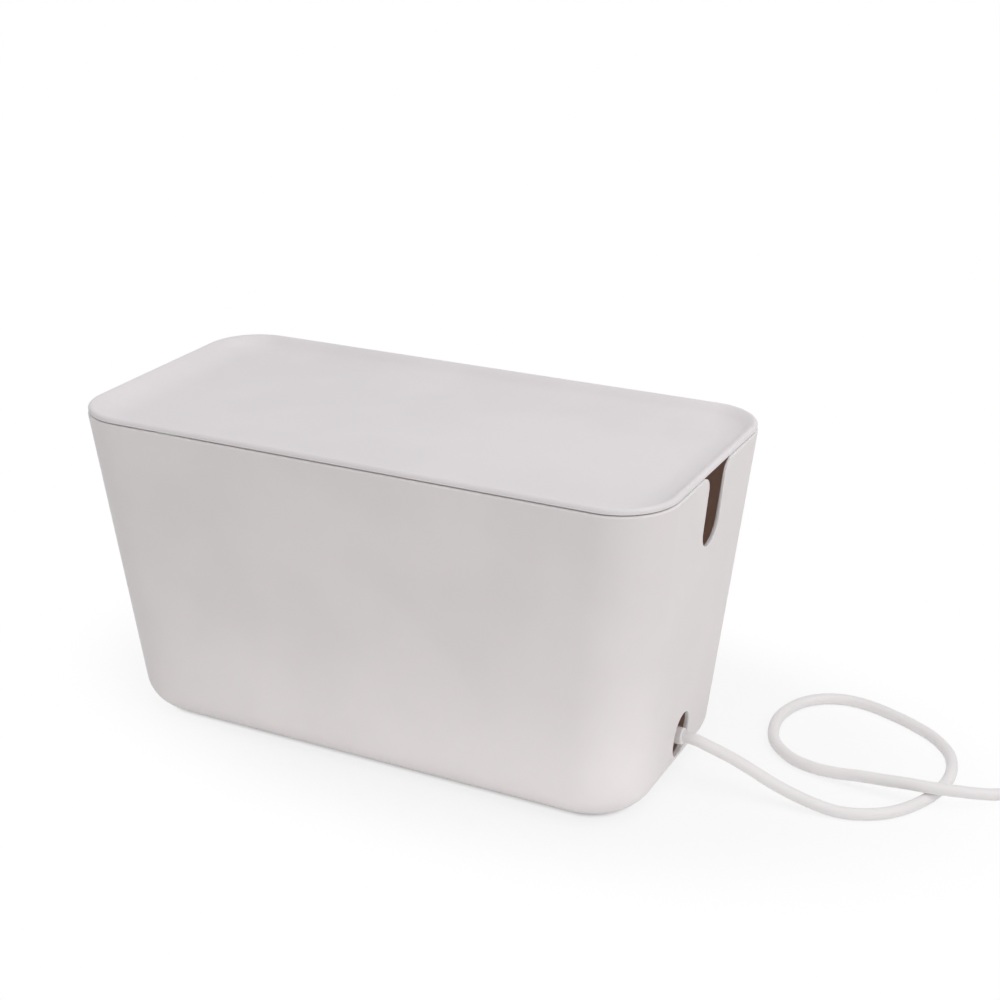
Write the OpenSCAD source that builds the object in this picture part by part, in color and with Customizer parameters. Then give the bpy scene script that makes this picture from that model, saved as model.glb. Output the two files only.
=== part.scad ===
// Cable management box: a tub with leaning walls and a lift-off tray lid.
// A power strip lies on its floor and its cord leaves by a port in the end wall.
// Frame: origin at the bottom centre of the box, +X towards the cord's end, +Z up, millimetres.

/* [Box] */
// Length over the rim
box_l = 440; // [400:5:540]
// Width over the rim
box_w = 220; // [180:5:270]
// Height from the surface it stands on to the top of the lid's rim
box_h = 238; // [195:1:290]
// How far each wall leans out from the base to the rim
lean = 21.5; // [12:0.5:26]
// Thickness of the tub's walls and floor
wall = 2; // [2:0.1:3.5]
// Plan radius of the upright corners at the rim
rim_corner_r = 41; // [34:1:50]
// Plan radius of the upright corners at the base
base_corner_r = 44; // [36:1:53]
// Radius of the rounded edge round the base
base_edge_r = 25; // [20:1:30]
// Rounding of the tub's upper outer edge
tub_edge_r = 1.8; // [1:0.1:1.9]

/* [Lid] */
// Height of the lid's visible edge, from the seam to the top
lid_edge = 4.4; // [3:0.1:5]
// Rounding of the rim's upper outer edge
rim_round = 2.2; // [1:0.1:2.6]
// How far the lid's edge sits in from the tub's
lid_inset = 0.8; // [0.4:0.1:1]
// Width of the rim's level crest, between its two roundings
crest_w = 0.3; // [0.1:0.1:0.6]
// Width from the outside to where the tray's hollow sweep would begin
rim_w = 7; // [6.5:0.5:9]
// Depth of the tray below the rim
tray_depth = 10; // [6:0.5:14]
// Width of the hollow sweep from the rim down to the tray's floor
tray_sweep = 22; // [16:1:26]
// Thickness of the tray
lid_wall = 2.4; // [2:0.1:2.8]
// Gap between the lid's rim and the tub's edge
lid_gap = 0.3; // [0.2:0.1:0.5]

/* [Cable openings] */
// Width of the slot that is open to the rim
slot_w = 29.5; // [22:0.5:36]
// Depth of the slot below the tub's edge
slot_depth = 55.2; // [44:0.2:70]
// Radius that flares the slot's two upper corners
slot_flare_r = 11; // [8:1:14]
// Width of the low cable port
port_w = 27; // [22:0.5:34]
// Straight stretch between the port's round ends
port_straight = 6; // [1:0.5:8]
// Height of the port's centre
port_z = 35.5; // [34:0.5:38]

/* [Feet] */
// Gap that the feet hold under the tub
foot_gap = 1.2; // [1:0.1:2]
// Depth of the recess that each foot is stuck in
foot_recess = 0.8; // [0.5:0.1:1.2]
// Diameter of a foot
foot_d = 16; // [12:1:20]
// Distance of the feet from the base's flat edge
foot_edge = 22; // [18:1:30]

/* [Power strip] */
// Width of the strip's housing
strip_w = 52; // [50:1:62]
// Height of the strip's housing
strip_h = 46; // [42:1:56]
// Height of the seam between base and cover, where the cord comes in
strip_split = 25.7; // [22:0.1:32]
// Wall of the housing
strip_wall = 2.2; // [1.8:0.1:2.6]
// Plan radius of the housing's corners
strip_r = 7; // [5:0.5:9]
// Height of the strip's own rubber feet
strip_foot_h = 3; // [2:0.5:4]
// Sideways offset of the strip in the tub
strip_y = 4; // [0:0.5:6]
// Number of outlets
outlets = 6; // [3:1:6]
// Distance from one outlet to the next
outlet_pitch = 38; // [35:0.5:47]

/* [Rocker switch and overload breaker] */
// Width of the switch's bezel
bezel_w = 15; // [14:1:20]
// Radius of the rocker's drum
rocker_r = 7.4; // [6.5:0.1:9]
// Tilt of the rocker to each side of level
rocker_tilt = 8; // [6:1:10]
// Diameter of the rocker's axle
axle_d = 3; // [2.4:0.2:3.4]
// Diameter of the reset button
button_d = 6.6; // [5:0.2:8]
// Height of the set button above its neck
button_up = 1.6; // [1:0.2:3]

/* [Cord and plug] */
// Diameter of the cord
cord_d = 8.2; // [7:0.1:8.2]
// Length of the strain-relief boot outside the strip
boot_l = 37; // [28:1:50]
// Diameter of the boot where it leaves the strip
boot_root_d = 13.4; // [13.2:0.2:16]
// Diameter of the boot at its tip
boot_tip_d = 11.8; // [10.6:0.2:12.6]
// How far the boot's tip stands out of the tub's wall
boot_out = 1; // [0.5:0.5:6]
// Width of the strap that ties the coil
tie_w = 14; // [10:1:20]
// Thickness of the strap
tie_t = 1; // [0.8:0.1:1.4]
// Width of the plug's body
plug_w = 25; // [24:1:30]
// Length of the plug's body
plug_l = 36; // [32:1:42]
// Length of the blades in front of the plug's face
blade_l = 17.5; // [16:0.5:19]

/* [Hidden] */

$fn = 64;
through = 1;          // how far a cut runs past the face it opens
skin = 0.02;          // thickness of the thin discs that hulls are stretched over
hull_fn = 40;         // sides of those discs
arc_steps = 6;        // slices along a rounded edge
shoulder_a = 25;      // how far down the tray's sweep the rim's soft shoulder reaches
shoulder_steps = 4;   // slices along it

// --- box
seam_z = box_h - lid_edge;                        // the tub's upper edge
lean_a = atan(lean / box_h);
edge_z = foot_gap + base_edge_r;                  // height of the centre of the rounded base edge
slot_bottom_z = seam_z - slot_depth;

function lean_at(z) = lean * (1 - z / box_h);
function half_l(z) = box_l / 2 - lean_at(z);
function half_w(z) = box_w / 2 - lean_at(z);
function plan_r(z) = rim_corner_r + (base_corner_r - rim_corner_r) * (1 - z / box_h);
// distance in from the outer face of a point at angle a on an arc round the base edge's centre
function arc_z(r, a) = edge_z - r * cos(a);
function arc_inset(r, a) =
    half_l(arc_z(r, a)) - (half_l(edge_z) - base_edge_r / cos(lean_a) + r * sin(a));

flat_half_l = half_l(foot_gap) - arc_inset(base_edge_r, 0);
flat_half_w = half_w(foot_gap) - arc_inset(base_edge_r, 0);
foot_x = flat_half_l - foot_edge;
foot_y = flat_half_w - foot_edge;

// --- power strip, in its own frame: x = 0 at the cord's end, running to -strip_l
strip_floor_z = foot_gap + wall + strip_foot_h;
exit_z = strip_floor_z + strip_split;
boot_tip_x = half_l(exit_z) + boot_out;
strip_end_x = boot_tip_x - boot_l;
pocket_gap = 0.4;                                 // rocker drum to its pocket
switch_l = 2 * (rocker_r + pocket_gap + 1.7);
bezel_l = switch_l + 3;
nut_af = 14;
outlet_face_d = 33;
switch_x = -15 - bezel_l / 2;                     // centre of the rocker switch
breaker_x = switch_x - (bezel_l + nut_af) / 2 - 7; // centre of the overload breaker
first_outlet_x = breaker_x - (nut_af + outlet_face_d) / 2 - 9.5;
strip_l = (outlets - 1) * outlet_pitch - first_outlet_x + 26;
blade_gap = 12.7;                                 // between the two blades of a plug
blade_t = 1.5;
blade_h = 6.35;
earth_gap = 11.9;                                 // from the blades' line to the earth pin
earth_d = 4.8;
face_shift = 4;                                   // the blades' line from the middle of the outlet
outlet_face_sink = 0.8;
blade_hole_t = 2;                                 // width of a blade's hole in the cover
blade_hole_l = 8;
neutral_extra = 0.6;                              // the neutral hole is this much longer
earth_hole_d = earth_d + 0.6;
cover_t = 2.4;                                    // thickness of the cover's top
screw_inset = 10;                                 // screws from the housing's ends
screw_y = strip_w / 2 - 6.5;                      // and from its middle line
screw_xs = [-screw_inset, -strip_l / 2, screw_inset - strip_l];
boss_d = 7.6;
screw_d = 3.5;
screw_pilot_d = 3;
screw_head_d = 6.4;
screw_head_h = 2.6;
screw_slot = 1;                                   // width and depth of the slot in its head
screw_grip = 11;                                  // length of screw in the cover's boss
pilot_spare = 2;                                  // pilot hole past the screw's tip
boss_z = strip_split - 2;                         // where the base's bosses meet the cover's
strip_foot_d = 10;
strip_foot_x = 22;                                // the strip's feet from its ends
strip_foot_y = strip_w / 2 - 8;
bar_z = strip_split - 2;                          // underside of the busbars
bar_t = 1;
bar_w = 4.4;
bar_far = 12;                                     // busbar past the last outlet's centre
bar_near = 14;                                    // and past the first one's
lead_in = 10;                                     // where the leads meet it
leaf_t = 0.8;
leaf_l = 8;
leaf_top_z = strip_h - cover_t - 2;
socket_slit = 1.2;                                // slit that lets an earth socket spring open
rib_t = 2;
bezel_t = 2;
switch_w = bezel_w - 2.4;
switch_low_z = strip_split - 4;
axle_gap = 0.05;                                  // rocker axle to its bearing
pivot_z = strip_h - 2.6;
rocker_w = switch_w - 3.6;
paddle_half_l = rocker_r - 0.5;
valley_h = 4.4;                                   // the V's lowest line above the rocker's axle
tab_t = 0.8;
tab_w = 6.3;
tab_h = 8;
switch_tab_x = 5;                                 // the terminals from the switch's middle
breaker_tab_y = 10;
breaker_l = 13;
breaker_w = 30;
breaker_low_z = strip_split - 6;
neck_d = 11;
neck_top_z = strip_h + 4;
button_gap = 0.2;
button_l = 12;
nut_t = 2.4;
fit_gap = 0.2;                                    // loose fit of fixed pieces
lead_d = 2.8;
flange_d = boot_root_d + 4;
flange_t = 2;
neck_groove_d = boot_root_d - 2;
sleeve_l = 3;                                     // the boot's sleeve inside the strip
sleeve_d = cord_d + 3;
lead_start_x = -strip_wall - flange_t - sleeve_l;
switch_tab_z = switch_low_z - tab_h - lead_d / 2; // where a lead meets the foot of a terminal
breaker_tab_z = breaker_low_z - tab_h - lead_d / 2;
bar_lead_z = bar_z - lead_d / 2;

// --- cord
cord_r = cord_d / 2;
coil_x = 493;                                     // centre of the coil
coil_y = 85;
turn_gap = 0.1;                                   // slack between neighbouring turns
turn_pitch = cord_d + turn_gap;
coil_mid_r = 49.1;                                // radius of the middle of the turns
coil_in_r = coil_mid_r - turn_pitch / 2 - cord_r;
coil_out_r = coil_mid_r + turn_pitch / 2 + cord_r;
coil_h = turn_pitch + cord_d;
tie_a = 60;                                       // where round the coil the strap sits
leave_a = -30;                                    // where the cord leaves the coil for the plug
leave_l = 26;                                     // straight stretch from the coil to the plug
plug_z = cord_r + turn_pitch;                     // height of the plug's axis
plug_h = 2 * plug_z;
plug_corner_r = 8;
plug_boot_l = 28;
plug_boot_tip_d = 11.5;
plug_boot_root_d = 14.5;
face_x = plug_boot_l + plug_l;
blade_z = 5;                                      // height of the blades above the plug's axis
blade_eye_d = 3;                                  // hole near a blade's tip
blade_eye_x = 4.5;
pin_l = blade_l + 3;                              // earth pin, with its tapered tip
pin_tip_l = 2;
pin_tip_d = 2.4;
tube_sides = 10;
rings_per_leg = 2;

// The cord's route from the boot to the coil: x, y and how high it lies above the surface.
route = [
    [212, 4, 27.2], [220, 4, 25], [236, 3.5, 20.8], [252, 2.5, 15.5], [267, 1.5, 10],
    [282, 1, 5.5], [298, 1, 2], [313, 2, 0], [328, 6, 0], [342, 15, 0],
    [354, 30, 0], [364, 53, 0], [368, 81, 0], [362, 108, 0], [347, 128, 0],
    [328, 141, 0], [309, 150, 0], [291, 156, 0], [273, 157, 0], [256, 150, 0],
    [243, 134, 0], [237, 107, 0], [244, 77, 0], [261, 58, 0], [279, 50, 0.5],
    [297, 47, 2], [314, 46, 4.5], [331, 45, 6.5], [347, 45, 8], [363, 46, 8.5],
    [379, 51, 7.5], [393, 59, 5], [405, 69, 2.5], [421, 86, 0.5], [438, 103, 0]];

// ---------------------------------------------------------------- helpers

// four thin discs at the corners of the box's plan at height z, moved in by inset
module plan_discs(z, inset) {
    r = plan_r(z) - inset;
    for (sx = [-1, 1], sy = [-1, 1])
        translate([sx * (half_l(z) - inset - r), sy * (half_w(z) - inset - r), z])
            cylinder(r = r, h = skin, $fn = hull_fn);
}

// the box's solid form up to top_z, grown inwards by inset, with its rounded base edge
// and its upper edge rounded by top_r
module leaning_form(inset, top_z, top_r) {
    r = base_edge_r - inset;
    hull() {
        for (k = [0 : arc_steps]) {
            a = k * (90 - lean_a) / arc_steps;
            plan_discs(arc_z(r, a), arc_inset(r, a));
        }
        for (a = [0 : 30 : 90])
            plan_discs(top_z - top_r * (1 - sin(a)) - skin, inset / cos(lean_a) + top_r * (1 - cos(a)));
    }
}

// upright block with rounded corners, centred in y, from x0 to x0 + l
module rounded_block(x0, l, w, h, r) {
    linear_extrude(h)
        translate([x0, -w / 2])
            union() {
                translate([r, 0]) square([l - 2 * r, w]);
                translate([0, r]) square([l, w - 2 * r]);
                for (x = [r, l - r], y = [r, w - r]) translate([x, y]) circle(r);
            }
}

// block from a corner to a corner
module span(low, high) {
    translate(low) cube(high - low);
}

module in_strip() {
    translate([strip_end_x, strip_y, strip_floor_z]) children();
}

function outlet_x(i) = first_outlet_x - i * outlet_pitch;

// --- swept tubes
function at(p, i) = p[max(0, min(len(p) - 1, i))];
function curve_point(p, i, t) =
    0.5 * (2 * at(p, i) + (at(p, i + 1) - at(p, i - 1)) * t
        + (2 * at(p, i - 1) - 5 * at(p, i) + 4 * at(p, i + 1) - at(p, i + 2)) * t * t
        + (3 * at(p, i) - at(p, i - 1) - 3 * at(p, i + 1) + at(p, i + 2)) * t * t * t);
function curve(p, n) = concat(
    [for (i = [0 : len(p) - 2], k = [0 : n - 1]) curve_point(p, i, k / n)], [p[len(p) - 1]]);
function unit(v) = v / norm(v);
function heading(p, i) = unit(at(p, i + 1) - at(p, i - 1));
// ring of points round point i; side is a direction that the path never takes
function ring(p, i, r, side, n) =
    let (t = heading(p, i), u = unit(cross(t, side)), v = cross(u, t))
        [for (k = [0 : n - 1]) p[i] + r * (u * cos(360 * k / n) + v * sin(360 * k / n))];

module tube(points, r, side, n) {
    rings = len(points);
    polyhedron(
        points = [for (i = [0 : rings - 1]) each ring(points, i, r, side, n)],
        faces = concat(
            [[for (k = [0 : n - 1]) k]],
            [for (i = [0 : rings - 2], k = [0 : n - 1])
                let (a = i * n + k, b = i * n + (k + 1) % n) [b, a, a + n, b + n]],
            [[for (k = [n - 1 : -1 : 0]) (rings - 1) * n + k]]),
        convexity = 8);
}

// ---------------------------------------------------------------- box

module slot_outline() {
    r = slot_w / 2;
    top = seam_z + through;
    translate([0, slot_bottom_z + r]) circle(r);
    translate([-r, slot_bottom_z + r]) square([slot_w, top - slot_bottom_z - r]);
    difference() {
        translate([-r - slot_flare_r, seam_z - slot_flare_r])
            square([slot_w + 2 * slot_flare_r, slot_flare_r + through]);
        for (s = [-1, 1]) translate([s * (r + slot_flare_r), seam_z - slot_flare_r]) circle(slot_flare_r);
    }
}

module port_outline() {
    for (s = [-1, 1]) translate([0, port_z + s * port_straight / 2]) circle(port_w / 2);
    translate([0, port_z]) square([port_w, port_straight], center = true);
}

// an outline drawn across the box (y, z), run through both end walls
module along_box() {
    translate([-box_l / 2 - through, 0, 0])
        rotate([90, 0, 90])
            linear_extrude(box_l + 2 * through) children();
}

module foot_places() {
    for (sx = [-1, 1], sy = [-1, 1]) translate([sx * foot_x, sy * foot_y, 0]) children();
}

module tub() {
    color("whitesmoke")
        difference() {
            leaning_form(0, seam_z, tub_edge_r);
            leaning_form(wall, seam_z + through, 0);
            along_box() slot_outline();
            along_box() port_outline();
            foot_places() cylinder(d = foot_d, h = foot_gap + foot_recess);
        }
}

// one thickness of the tray's hollow: at angle a down the sweep, moved out by t
function sweep_norm(a) = norm([tray_depth * cos(a), tray_sweep * sin(a)]);
function sweep_inset(a, t) = rim_w + tray_sweep * (1 - cos(a)) - t * tray_depth * cos(a) / sweep_norm(a);
function sweep_z(a, t) = box_h - tray_depth * sin(a) - t * tray_sweep * sin(a) / sweep_norm(a);

// the tray's upper surface as [inset, height]: a soft bend from the crest, then the sweep to the floor
shoulder_foot = [sweep_inset(shoulder_a, 0), sweep_z(shoulder_a, 0)];
shoulder_slope = tray_depth * cos(shoulder_a) / (tray_sweep * sin(shoulder_a));
crest_edge = [lid_inset + rim_round + crest_w, box_h];
shoulder_bend = [shoulder_foot[0] - (box_h - shoulder_foot[1]) / shoulder_slope, box_h];
tray_surface = concat(
    [for (k = [0 : shoulder_steps])
        let (t = k / shoulder_steps)
            pow(1 - t, 2) * crest_edge + 2 * t * (1 - t) * shoulder_bend + t * t * shoulder_foot],
    [for (k = [1 : arc_steps])
        let (a = shoulder_a + (90 - shoulder_a) * k / arc_steps) [sweep_inset(a, 0), sweep_z(a, 0)]]);

// everything above the tray's upper surface, in one slab from each line of it to the next
module tray_hollow() {
    for (k = [1 : len(tray_surface) - 1])
        hull()
            for (edge = [tray_surface[k - 1], tray_surface[k]]) plan_discs(edge[1], edge[0]);
}

// the tray's body, whose underside follows its upper surface one thickness away
module tray_body() {
    hull() {
        plan_discs(box_h - lid_edge / 2, rim_w);
        for (k = [1 : arc_steps])
            plan_discs(sweep_z(90 * k / arc_steps, lid_wall), sweep_inset(90 * k / arc_steps, lid_wall));
    }
}

module rim_form() {
    hull() {
        plan_discs(seam_z + lid_gap, lid_inset);
        for (a = [0 : 30 : 90])
            plan_discs(box_h - rim_round * (1 - sin(a)) - skin, lid_inset + rim_round * (1 - cos(a)));
    }
}

module lid() {
    color("whitesmoke")
        difference() {
            union() {
                rim_form();
                tray_body();
            }
            tray_hollow();
        }
}

module foot(sx, sy) {
    color("gainsboro")
        translate([sx * foot_x, sy * foot_y, 0]) cylinder(d = foot_d, h = foot_gap + foot_recess);
}

module foot_front_left() { foot(-1, -1); }
module foot_front_right() { foot(1, -1); }
module foot_rear_left() { foot(-1, 1); }
module foot_rear_right() { foot(1, 1); }

// ---------------------------------------------------------------- power strip

module screw_places() {
    for (x = screw_xs, s = [-1, 1]) translate([x, s * screw_y, 0]) children();
}

// the hole that both halves of the housing share for the boot
module boot_hole() {
    translate([-strip_wall - through, 0, strip_split])
        rotate([0, 90, 0]) cylinder(d = neck_groove_d + fit_gap, h = strip_wall + 2 * through);
}

module strip_base() {
    color("white") in_strip() {
        difference() {
            union() {
                difference() {
                    rounded_block(-strip_l, strip_l, strip_w, strip_split, strip_r);
                    translate([0, 0, strip_wall])
                        rounded_block(strip_wall - strip_l, strip_l - 2 * strip_wall,
                            strip_w - 2 * strip_wall, strip_split, strip_r - strip_wall);
                }
                screw_places() cylinder(d = boss_d, h = boss_z);
                for (i = [1 : outlets - 1])
                    span([outlet_x(i) + outlet_pitch / 2 - rib_t, -strip_w / 2 + strip_wall / 2, 0],
                        [outlet_x(i) + outlet_pitch / 2, strip_w / 2 - strip_wall / 2, bar_z]);
            }
            screw_places() {
                translate([0, 0, -through]) {
                    cylinder(d = screw_d + 2 * fit_gap, h = boss_z + 2 * through);
                    cylinder(d = screw_head_d + 2 * fit_gap, h = screw_head_h + fit_gap + through);
                }
            }
            boot_hole();
        }
    }
}

module outlet_cuts(i) {
    translate([outlet_x(i), 0, strip_h]) {
        translate([0, 0, -outlet_face_sink]) cylinder(d = outlet_face_d, h = outlet_face_sink + through);
        for (s = [-1, 1])
            span([face_shift - blade_hole_l / 2 - (s < 0 ? neutral_extra : 0),
                    (s * blade_gap - blade_hole_t) / 2, -cover_t - through],
                [face_shift + blade_hole_l / 2, (s * blade_gap + blade_hole_t) / 2, through]);
        translate([face_shift - earth_gap, 0, -cover_t - through])
            cylinder(d = earth_hole_d, h = cover_t + 2 * through);
    }
}

module strip_cover() {
    color("white") in_strip() {
        difference() {
            union() {
                difference() {
                    translate([0, 0, strip_split])
                        rounded_block(-strip_l, strip_l, strip_w, strip_h - strip_split, strip_r);
                    translate([0, 0, strip_split - through])
                        rounded_block(strip_wall - strip_l, strip_l - 2 * strip_wall,
                            strip_w - 2 * strip_wall, strip_h - strip_split - cover_t + through,
                            strip_r - strip_wall);
                }
                screw_places() translate([0, 0, boss_z])
                    cylinder(d = boss_d, h = strip_h - boss_z - cover_t / 2);
            }
            for (i = [0 : outlets - 1]) outlet_cuts(i);
            screw_places() translate([0, 0, boss_z - through])
                cylinder(d = screw_pilot_d, h = screw_grip + pilot_spare + through);
            span([switch_x - switch_l / 2 - fit_gap, -switch_w / 2 - fit_gap, strip_split],
                [switch_x + switch_l / 2 + fit_gap, switch_w / 2 + fit_gap, strip_h + through]);
            translate([breaker_x, 0, strip_split]) cylinder(d = neck_d + 2 * fit_gap, h = strip_h);
            boot_hole();
        }
    }
}

module strip_feet() {
    color("dimgray") in_strip()
        for (x = [-strip_foot_x, strip_foot_x - strip_l], s = [-1, 1])
            translate([x, s * strip_foot_y, -strip_foot_h]) cylinder(d = strip_foot_d, h = strip_foot_h);
}

module housing_screws() {
    color("silver") in_strip()
        screw_places() {
            difference() {
                cylinder(d = screw_head_d, h = screw_head_h);
                translate([-screw_head_d / 2, -screw_slot / 2, -through])
                    cube([screw_head_d, screw_slot, screw_slot + through]);
            }
            translate([0, 0, screw_head_h]) cylinder(d = screw_d, h = boss_z + screw_grip - screw_head_h);
        }
}

module bar_plate(y) {
    span([outlet_x(outlets - 1) - bar_far, y - bar_w / 2, bar_z],
        [first_outlet_x + bar_near, y + bar_w / 2, bar_z + bar_t]);
}

// flat strip with a pair of spring leaves at each outlet
module blade_bar(y) {
    bar_plate(y);
    for (i = [0 : outlets - 1], s = [-1, 1])
        translate([outlet_x(i) + face_shift, y + s * (blade_t + leaf_t) / 2, (bar_z + leaf_top_z) / 2])
            cube([leaf_l, leaf_t, leaf_top_z - bar_z], center = true);
}

module live_busbar() { color("goldenrod") in_strip() blade_bar(blade_gap / 2); }
module neutral_busbar() { color("goldenrod") in_strip() blade_bar(-blade_gap / 2); }

module earth_busbar() {
    color("goldenrod") in_strip() {
        bar_plate(0);
        for (i = [0 : outlets - 1])
            translate([outlet_x(i) + face_shift - earth_gap, 0, bar_z])
                difference() {
                    cylinder(d = earth_d + 2 * leaf_t, h = leaf_top_z - bar_z);
                    translate([0, 0, bar_t]) cylinder(d = earth_d, h = leaf_top_z);
                    translate([0, -socket_slit / 2, bar_t]) cube([earth_d, socket_slit, leaf_top_z]);
                }
    }
}

module switch_body() {
    color("dimgray") in_strip()
        difference() {
            union() {
                span([switch_x - switch_l / 2, -switch_w / 2, switch_low_z],
                    [switch_x + switch_l / 2, switch_w / 2, strip_h]);
                span([switch_x - bezel_l / 2, -bezel_w / 2, strip_h],
                    [switch_x + bezel_l / 2, bezel_w / 2, strip_h + bezel_t]);
            }
            translate([switch_x, -rocker_w / 2 - fit_gap, pivot_z]) rotate([-90, 0, 0])
                cylinder(r = rocker_r + pocket_gap, h = rocker_w + 2 * fit_gap);
            span([switch_x - rocker_r - pocket_gap, -rocker_w / 2 - fit_gap, pivot_z],
                [switch_x + rocker_r + pocket_gap, rocker_w / 2 + fit_gap, strip_h + bezel_t + through]);
            translate([switch_x, -bezel_w, pivot_z]) rotate([-90, 0, 0])
                cylinder(d = axle_d + 2 * axle_gap, h = 2 * bezel_w);
        }
}

// drum and paddle with a shallow V top, pressed down at the cord's end
module rocker() {
    color("firebrick") in_strip()
        translate([switch_x, 0, pivot_z]) rotate([0, rocker_tilt, 0]) {
            difference() {
                union() {
                    rotate([90, 0, 0]) cylinder(r = rocker_r, h = rocker_w, center = true);
                    span([-paddle_half_l, -rocker_w / 2, 0], [paddle_half_l, rocker_w / 2, rocker_r]);
                }
                for (s = [-1, 1])
                    translate([0, -rocker_w, valley_h]) rotate([0, -s * rocker_tilt, 0])
                        translate([s > 0 ? -through : through - 2 * rocker_r, 0, 0])
                            cube([2 * rocker_r, 2 * rocker_w, rocker_r]);
            }
            rotate([90, 0, 0]) cylinder(d = axle_d, h = switch_w, center = true);
        }
}

module tab(x, y, z) {
    translate([x - tab_t / 2, y - tab_w / 2, z - tab_h]) cube([tab_t, tab_w, tab_h]);
}

module switch_terminals() {
    color("silver") in_strip()
        for (s = [-1, 1]) tab(switch_x + s * switch_tab_x, 0, switch_low_z);
}

module breaker_body() {
    color("black") in_strip()
        difference() {
            union() {
                span([breaker_x - breaker_l / 2, -breaker_w / 2, breaker_low_z],
                    [breaker_x + breaker_l / 2, breaker_w / 2, strip_h - cover_t]);
                translate([breaker_x, 0, breaker_low_z]) cylinder(d = neck_d, h = neck_top_z - breaker_low_z);
            }
            translate([breaker_x, 0, neck_top_z - button_l])
                cylinder(d = button_d + 2 * button_gap, h = button_l + through);
        }
}

module breaker_nut() {
    color("silver") in_strip()
        translate([breaker_x, 0, strip_h])
            difference() {
                cylinder(d = nut_af / cos(30), h = nut_t, $fn = 6);
                translate([0, 0, -through]) cylinder(d = neck_d + 0.1, h = nut_t + 2 * through);
            }
}

module reset_button() {
    color("white") in_strip()
        translate([breaker_x, 0, neck_top_z - button_l + fit_gap])
            cylinder(d = button_d, h = button_l - fit_gap + button_up);
}

module breaker_terminals() {
    color("silver") in_strip()
        for (s = [-1, 1]) tab(breaker_x, s * breaker_tab_y, breaker_low_z);
}

module lead(points) {
    in_strip() tube(curve(points, 3), lead_d / 2, [0, 1, 0], 8);
}

module live_lead() {
    color("black")
        lead([[lead_start_x, 3.5, strip_split], [lead_start_x - 4, 6, strip_split - 5],
            [lead_start_x - 9, 11, strip_split - 12], [switch_x - 2, 13, 8], [breaker_x + 9, 12, 6],
            [breaker_x, breaker_tab_y, breaker_tab_z]]);
}

module breaker_lead() {
    color("black")
        lead([[breaker_x, -breaker_tab_y, breaker_tab_z], [breaker_x + 7, -9, 7.5],
            [switch_x - 12, -5, 8], [switch_x - switch_tab_x, 0, switch_tab_z]]);
}

module switch_lead() {
    color("black")
        lead([[switch_x + switch_tab_x, 0, switch_tab_z], [switch_x - 2, 6, 8], [switch_x - 14, 6, 5],
            [breaker_x - 5, 5, 6], [first_outlet_x + 20, 6, bar_z - 9],
            [first_outlet_x + lead_in, blade_gap / 2, bar_lead_z]]);
}

module neutral_lead() {
    color("white")
        lead([[lead_start_x, -3.5, strip_split], [lead_start_x - 4, -6, strip_split - 5],
            [lead_start_x - 8, -11, strip_split - 13], [switch_x + 2, -17, 7], [breaker_x + 1, -17, 6],
            [first_outlet_x + 22, -10, bar_z - 11], [first_outlet_x + lead_in, -blade_gap / 2, bar_lead_z]]);
}

module earth_lead() {
    color("green")
        lead([[lead_start_x, 0, strip_split], [lead_start_x - 3, 0, strip_split - 6],
            [lead_start_x - 6, 0, strip_split - 15], [switch_x + 4, 0, 5], [switch_x - 14, 0, 4.5],
            [breaker_x - 5, 0, 6], [first_outlet_x + 19, 0, bar_z - 9],
            [first_outlet_x + lead_in, 0, bar_lead_z]]);
}

// ---------------------------------------------------------------- cord and plug

// strain relief: inner flange, neck in the housing wall, outer flange, tapered ribbed sleeve
module cord_boot() {
    ribs = 5;
    plain_root = 3;                               // unribbed stretches at the root and the tip
    plain_tip = 7;
    rib_step = (boot_l - flange_t - plain_root - plain_tip) / ribs;
    color("white")
        translate([strip_end_x, strip_y, exit_z]) rotate([0, 90, 0]) {
            translate([0, 0, lead_start_x]) cylinder(d = sleeve_d, h = sleeve_l);
            translate([0, 0, -strip_wall - flange_t]) cylinder(d = flange_d, h = flange_t);
            translate([0, 0, -strip_wall]) cylinder(d = neck_groove_d, h = strip_wall);
            cylinder(d = flange_d, h = flange_t);
            difference() {
                cylinder(d1 = boot_root_d, d2 = boot_tip_d, h = boot_l);
                for (k = [0 : ribs - 1])
                    translate([0, 0, flange_t + plain_root + k * rib_step])
                        difference() {
                            cylinder(d = boot_root_d + 2, h = rib_step / 3);
                            translate([0, 0, -through]) cylinder(d = cord_d + 2, h = rib_step);
                        }
            }
        }
}

cord_points = concat([[boot_tip_x, strip_y, exit_z]], [for (p = route) [p[0], p[1], p[2] + cord_r]]);

module cord_run() {
    color("white") tube(curve(cord_points, rings_per_leg), cord_r, [0, 0, 1], tube_sides);
}

module in_coil(a) {
    translate([coil_x, coil_y, 0]) rotate([0, 0, a]) children();
}

// room for the strap round the bundle of turns
module strap_block(t, w) {
    span([coil_in_r - t, -w / 2, -t], [coil_out_r + t, w / 2, coil_h + t]);
}

module cord_coil() {
    color("white")
        difference() {
            in_coil(0) rotate_extrude()
                translate([coil_in_r, 0]) square([coil_out_r - coil_in_r, coil_h + tie_t]);
            in_coil(tie_a) span([0, -tie_w / 2, -through], [2 * coil_out_r, tie_w / 2, tie_t]);
        }
}

module cord_tie() {
    color("gray")
        in_coil(tie_a)
            translate([0, 0, tie_t])
                difference() {
                    strap_block(tie_t, tie_w);
                    translate([0, -tie_w, 0]) span([coil_in_r, 0, 0], [coil_out_r, 2 * tie_w, coil_h]);
                }
}

// the plug's frame: x along its axis from the cord to the blades, z up
module in_plug() {
    in_coil(leave_a)
        translate([coil_mid_r + turn_pitch / 2, 0, plug_z])
            rotate([0, 0, -90]) translate([leave_l, 0, 0]) children();
}

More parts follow.
